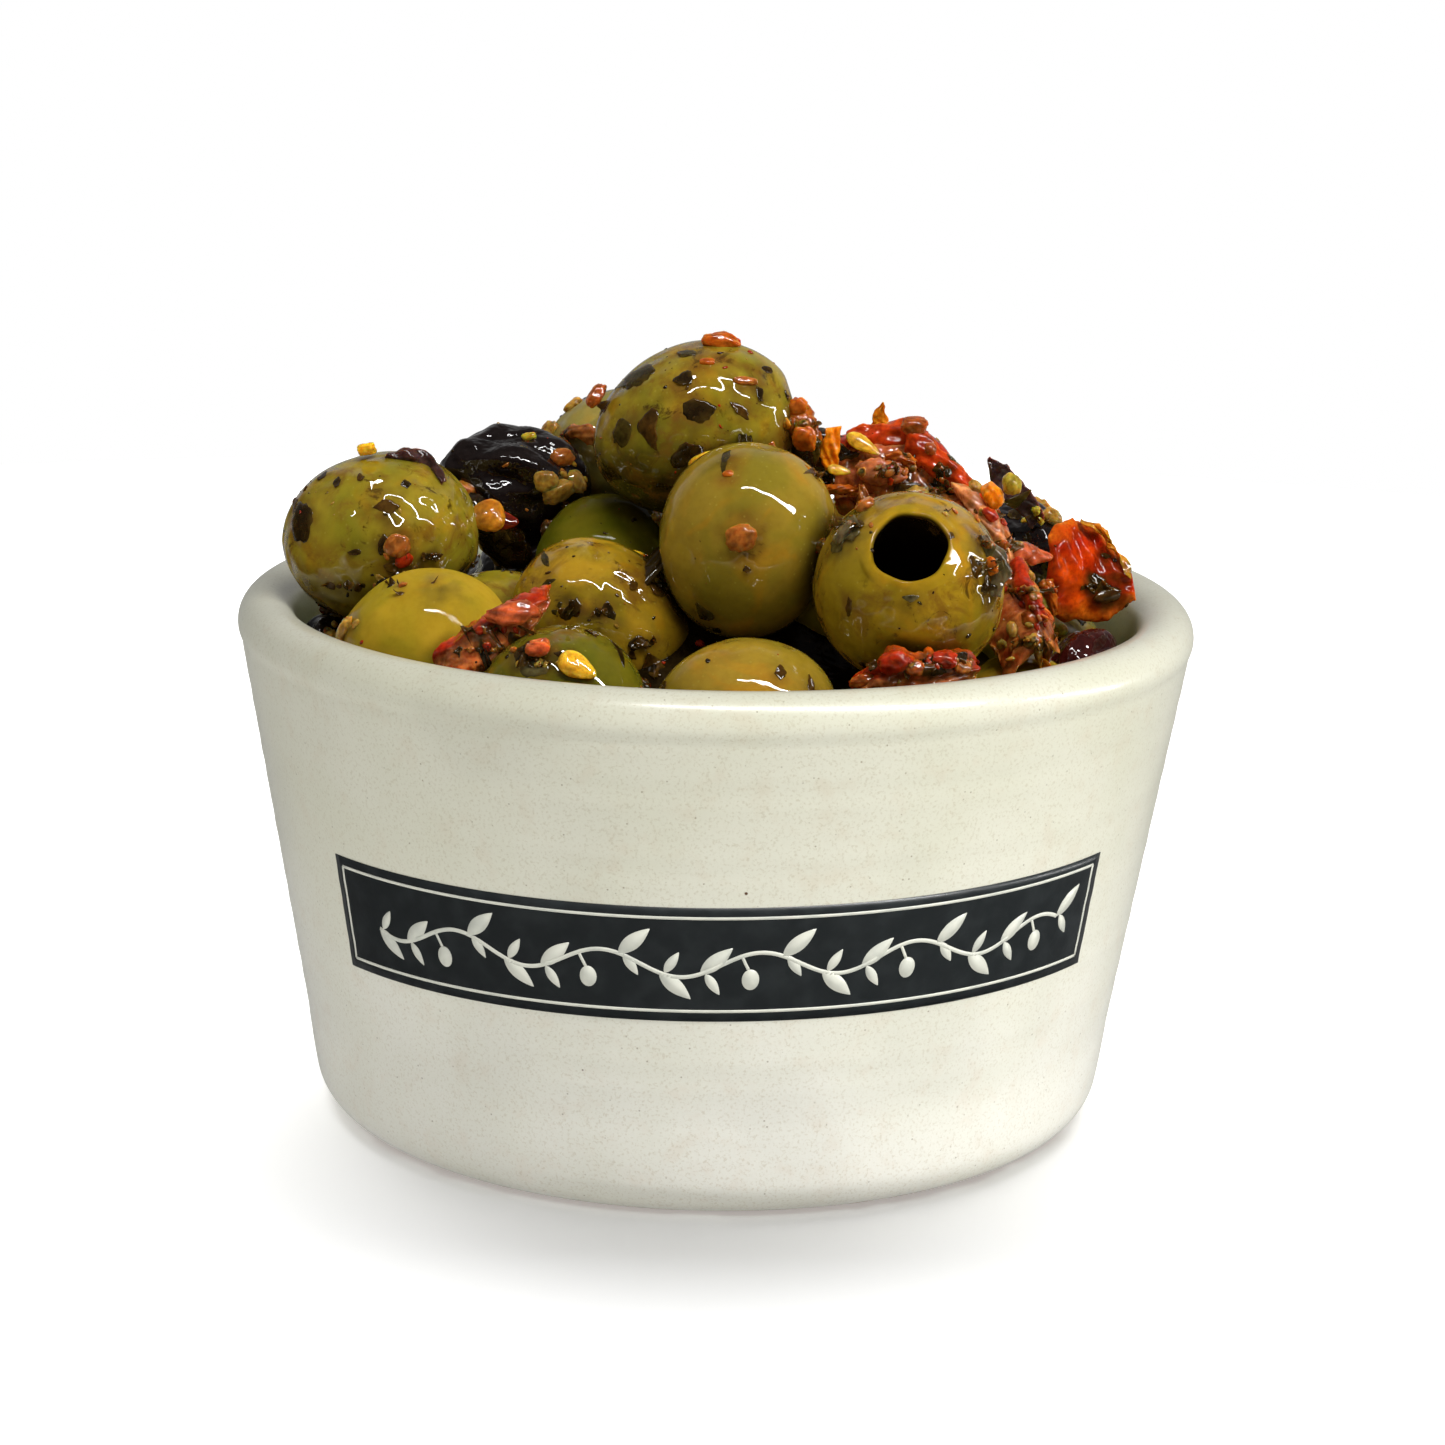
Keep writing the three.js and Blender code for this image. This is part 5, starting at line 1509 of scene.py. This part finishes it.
# Long lights: directions of both ends from LIT_POINT, distance, width, radiance, and what is lit: the floor
# or the bowl alone, all but the floor, or the food alone. Wet things mirror the strips and not the fills
LIT_POINT = np.array([0.0, -8, 58])
LIGHTS = {
    "strip_high": ((-0.185, -0.397, 0.9), (0.8, -0.356, 0.485), 620, 28, 68, "all"),
    "strip_right": ((0.906, -0.226, 0.358), (0.962, 0.258, -0.05), 620, 24, 26, "all"),
    "fill_left": ((-0.95, -0.5, 0.35), (-0.5, -0.95, 0.35), 900, 420, 1.15, "all"),
    "fill_front": ((-0.4, -0.95, 0.05), (0.4, -0.95, 0.05), 900, 420, 1.3, "food"),
    "fill_top": ((-0.5, -0.2, 0.9), (0.5, -0.2, 0.9), 900, 700, 1.05, "food"),
    "fill_low": ((-0.5, -0.95, -0.04), (0.9, -0.75, -0.04), 900, 240, 1.25, "bowl"),
    "fill_east": ((0.95, -0.5, -0.04), (0.95, 0.3, -0.04), 900, 300, 1.8, "bowl"),
    "fill_west": ((-0.95, -0.6, -0.04), (-0.95, 0.2, -0.04), 900, 300, 0.8, "bowl"),
    "over_floor": ((-0.6, 0.35, 0.95), (0.66, 0.35, 0.95), 1800, 1200, 6.1, "floor"),
}
FLOOR_SIDES, FLOOR_RADIUS = 96, 400


def add_strip(name, start, end, distance, width, radiance):
    """A light between two directions, whose radiance doesn't depend on its size."""
    start, end = (LIT_POINT + unit(d) * distance for d in (start, end))
    middle, along = (start + end) / 2, end - start
    data = bpy.data.lights.new(name, "AREA")
    data.shape = "RECTANGLE"
    data.size, data.size_y = np.linalg.norm(along) * MM, width * MM
    data.energy = radiance * math.pi * data.size * data.size_y
    light = add_object(name, data)
    x, away = unit(along), middle - LIT_POINT
    z = unit(away - x * np.dot(away, x))
    stand(light, x, np.cross(z, x), z, middle)
    light.visible_glossy = not name.startswith("fill")
    return light


def add_lights(floor, bowl):
    only = {"bowl": bowl, "floor": [floor]}
    all_but = {"all": [floor], "food": [floor, *bowl]}
    for name, (*shape, lit) in LIGHTS.items():
        light = add_strip(name, *shape)
        linked = bpy.data.collections.new(name + "_lights")
        for obj in only.get(lit) or all_but[lit]:
            linked.objects.link(obj)
        light.light_linking.receiver_collection = linked
        for row in linked.collection_objects if lit in all_but else ():
            row.light_linking.link_state = "EXCLUDE"


def add_world():
    """White where the camera looks past the floor. It lights the part more from above and from behind."""
    n = Nodes(bpy.data.worlds.new("studio"))
    way = n.node("ShaderNodeSeparateXYZ", {0: n.places["Generated"]}).outputs
    lit = n.math("ADD", n.span(way["Z"], -0.1, 0.9, 0.02, 0.10), n.span(way["Y"], 0.3, 0.9, 0.0, 0.3))
    seen = n.node("ShaderNodeLightPath").outputs["Is Camera Ray"]
    background = n.tree.nodes["Background"]
    n.put(background.inputs["Strength"], n.math("MAXIMUM", lit, seen))
    n.put(background.inputs["Color"], (1, 1, 1))
    bpy.context.scene.world = n.owner


def add_floor():
    """A round floor, lit white."""
    turns = np.linspace(0, 2 * math.pi, FLOOR_SIDES, endpoint=False)
    points = FLOOR_RADIUS * MM * np.stack([np.cos(turns), np.sin(turns), np.zeros(FLOOR_SIDES)], 1)
    mesh = bpy.data.meshes.new("floor")
    mesh.from_pydata(points.tolist(), [], [tuple(range(FLOOR_SIDES))])
    mesh.materials.append(floor_material())
    floor = add_object("floor", mesh)
    floor.visible_glossy = False
    floor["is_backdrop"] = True
    return floor


# --- Build ------------------------------------------------------------------------------------------------

skin = olive_material()
black = wet_material("black_olive_skin", (0.3, 0.25, 0.35), 0.4, 0.0, roughness=0.4, gloss=0.01, grain=0.02,
                     waves=0.16, beads=0.3)
flesh = wet_material("sun_dried_tomato", (0.55, 0.32, 0.24), 0.5, 0.6, roughness=0.3, waves=0.14, beads=0.16)
leaf = wet_material("herb_leaf", (0.6, 0.55, 0.4), 0.5, 0.15, roughness=0.5, film=0.7, film_roughness=0.05,
                    grain=0.03, waves=0.05, reach_mm=0.6)
pepper = wet_material("dried_pepper", (0.7, 0.5, 0.5), 0.25, 0.7, roughness=0.45, film=0.6, grain=0.02,
                      waves=0.06, beads=0.03)
flap = wet_material("dried_pepper_flap", (0.7, 0.5, 0.5), 0.3, 0.7, roughness=0.5, film=0.25,
                    film_roughness=0.08, grain=0.02, waves=0.03, beads=0.02)
bits = wet_material("soaked_crumbs", (0.8, 0.6, 0.45), 0.4, 1.0, grain=0.04, waves=0.16, reach_mm=1.6,
                    beads=0.16)
heap_shade_material = wet_material("heap_painted_shade", (0.3, 0.3, 0.3), 0.8, 0.0, roughness=0.5, film=0.2)

bowl = [make_bowl(glaze_material())]
bowl += make_band(print_material("slate_print", (0.014, 0.017, 0.018), (0.02, 0.024, 0.025)),
                  print_material("cream_print", (0.62, 0.62, 0.53), (0.52, 0.53, 0.46)))
green, pitted, dark, core = make_green_olives(), make_pitted_olive(), make_black_olives(), make_core()
tomatoes = make_tomatoes()
food = [green, pitted, dark, core, *tomatoes.values()]
flakes, crumbs, seeds, specks, stains = Soup(), Soup(), Soup(), Soup(), []
scraps = lay_scraps(Ground(food), stains)
ground = Ground([*food, *scraps])
lay_photographed(ground, flakes, crumbs, seeds, stains)
lay_clusters(ground, crumbs, flakes, stains)
fill_gaps(ground, crumbs, flakes)
lay_unseen(ground, flakes, crumbs, seeds)
add_specks(ground, specks)
for soup in (green, pitted, *tomatoes.values()):
    soup.stain(stains)
olives, tomato = "olives_in_marinade", "sun_dried_tomato"
scraps[0].piece("pepper_and_leaf_scraps", pepper, tomato)
scraps[1].piece("tomato_flesh_scraps", flesh, tomato)
green.piece("green_olives", skin, olives, ["olive_heap"], around=ground.tree)
pitted.piece("pitted_olive", skin, olives, ["olive_heap"], around=ground.tree)
dark.piece("black_olives", black, olives, ["olive_heap"])
core.piece("heap_core", heap_shade_material, olives, ["olive_heap"])
for name, soup in tomatoes.items():
    soup.piece(name + "_piece", flap if name == "tomato_flap" else flesh, tomato, [name])
flakes.piece("herb_flakes", leaf, olives)
crumbs.piece("garlic_and_pepper_crumbs", bits, olives)
seeds.piece("seeds", bits, olives)
specks.piece("spice_specks", leaf, olives)
add_camera()
add_lights(add_floor(), bowl)
add_world()
bpy.context.scene.view_settings.view_transform = "Standard"

new_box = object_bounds()
[[list(corner) for corner in box] for box in (cad_box, new_box)]
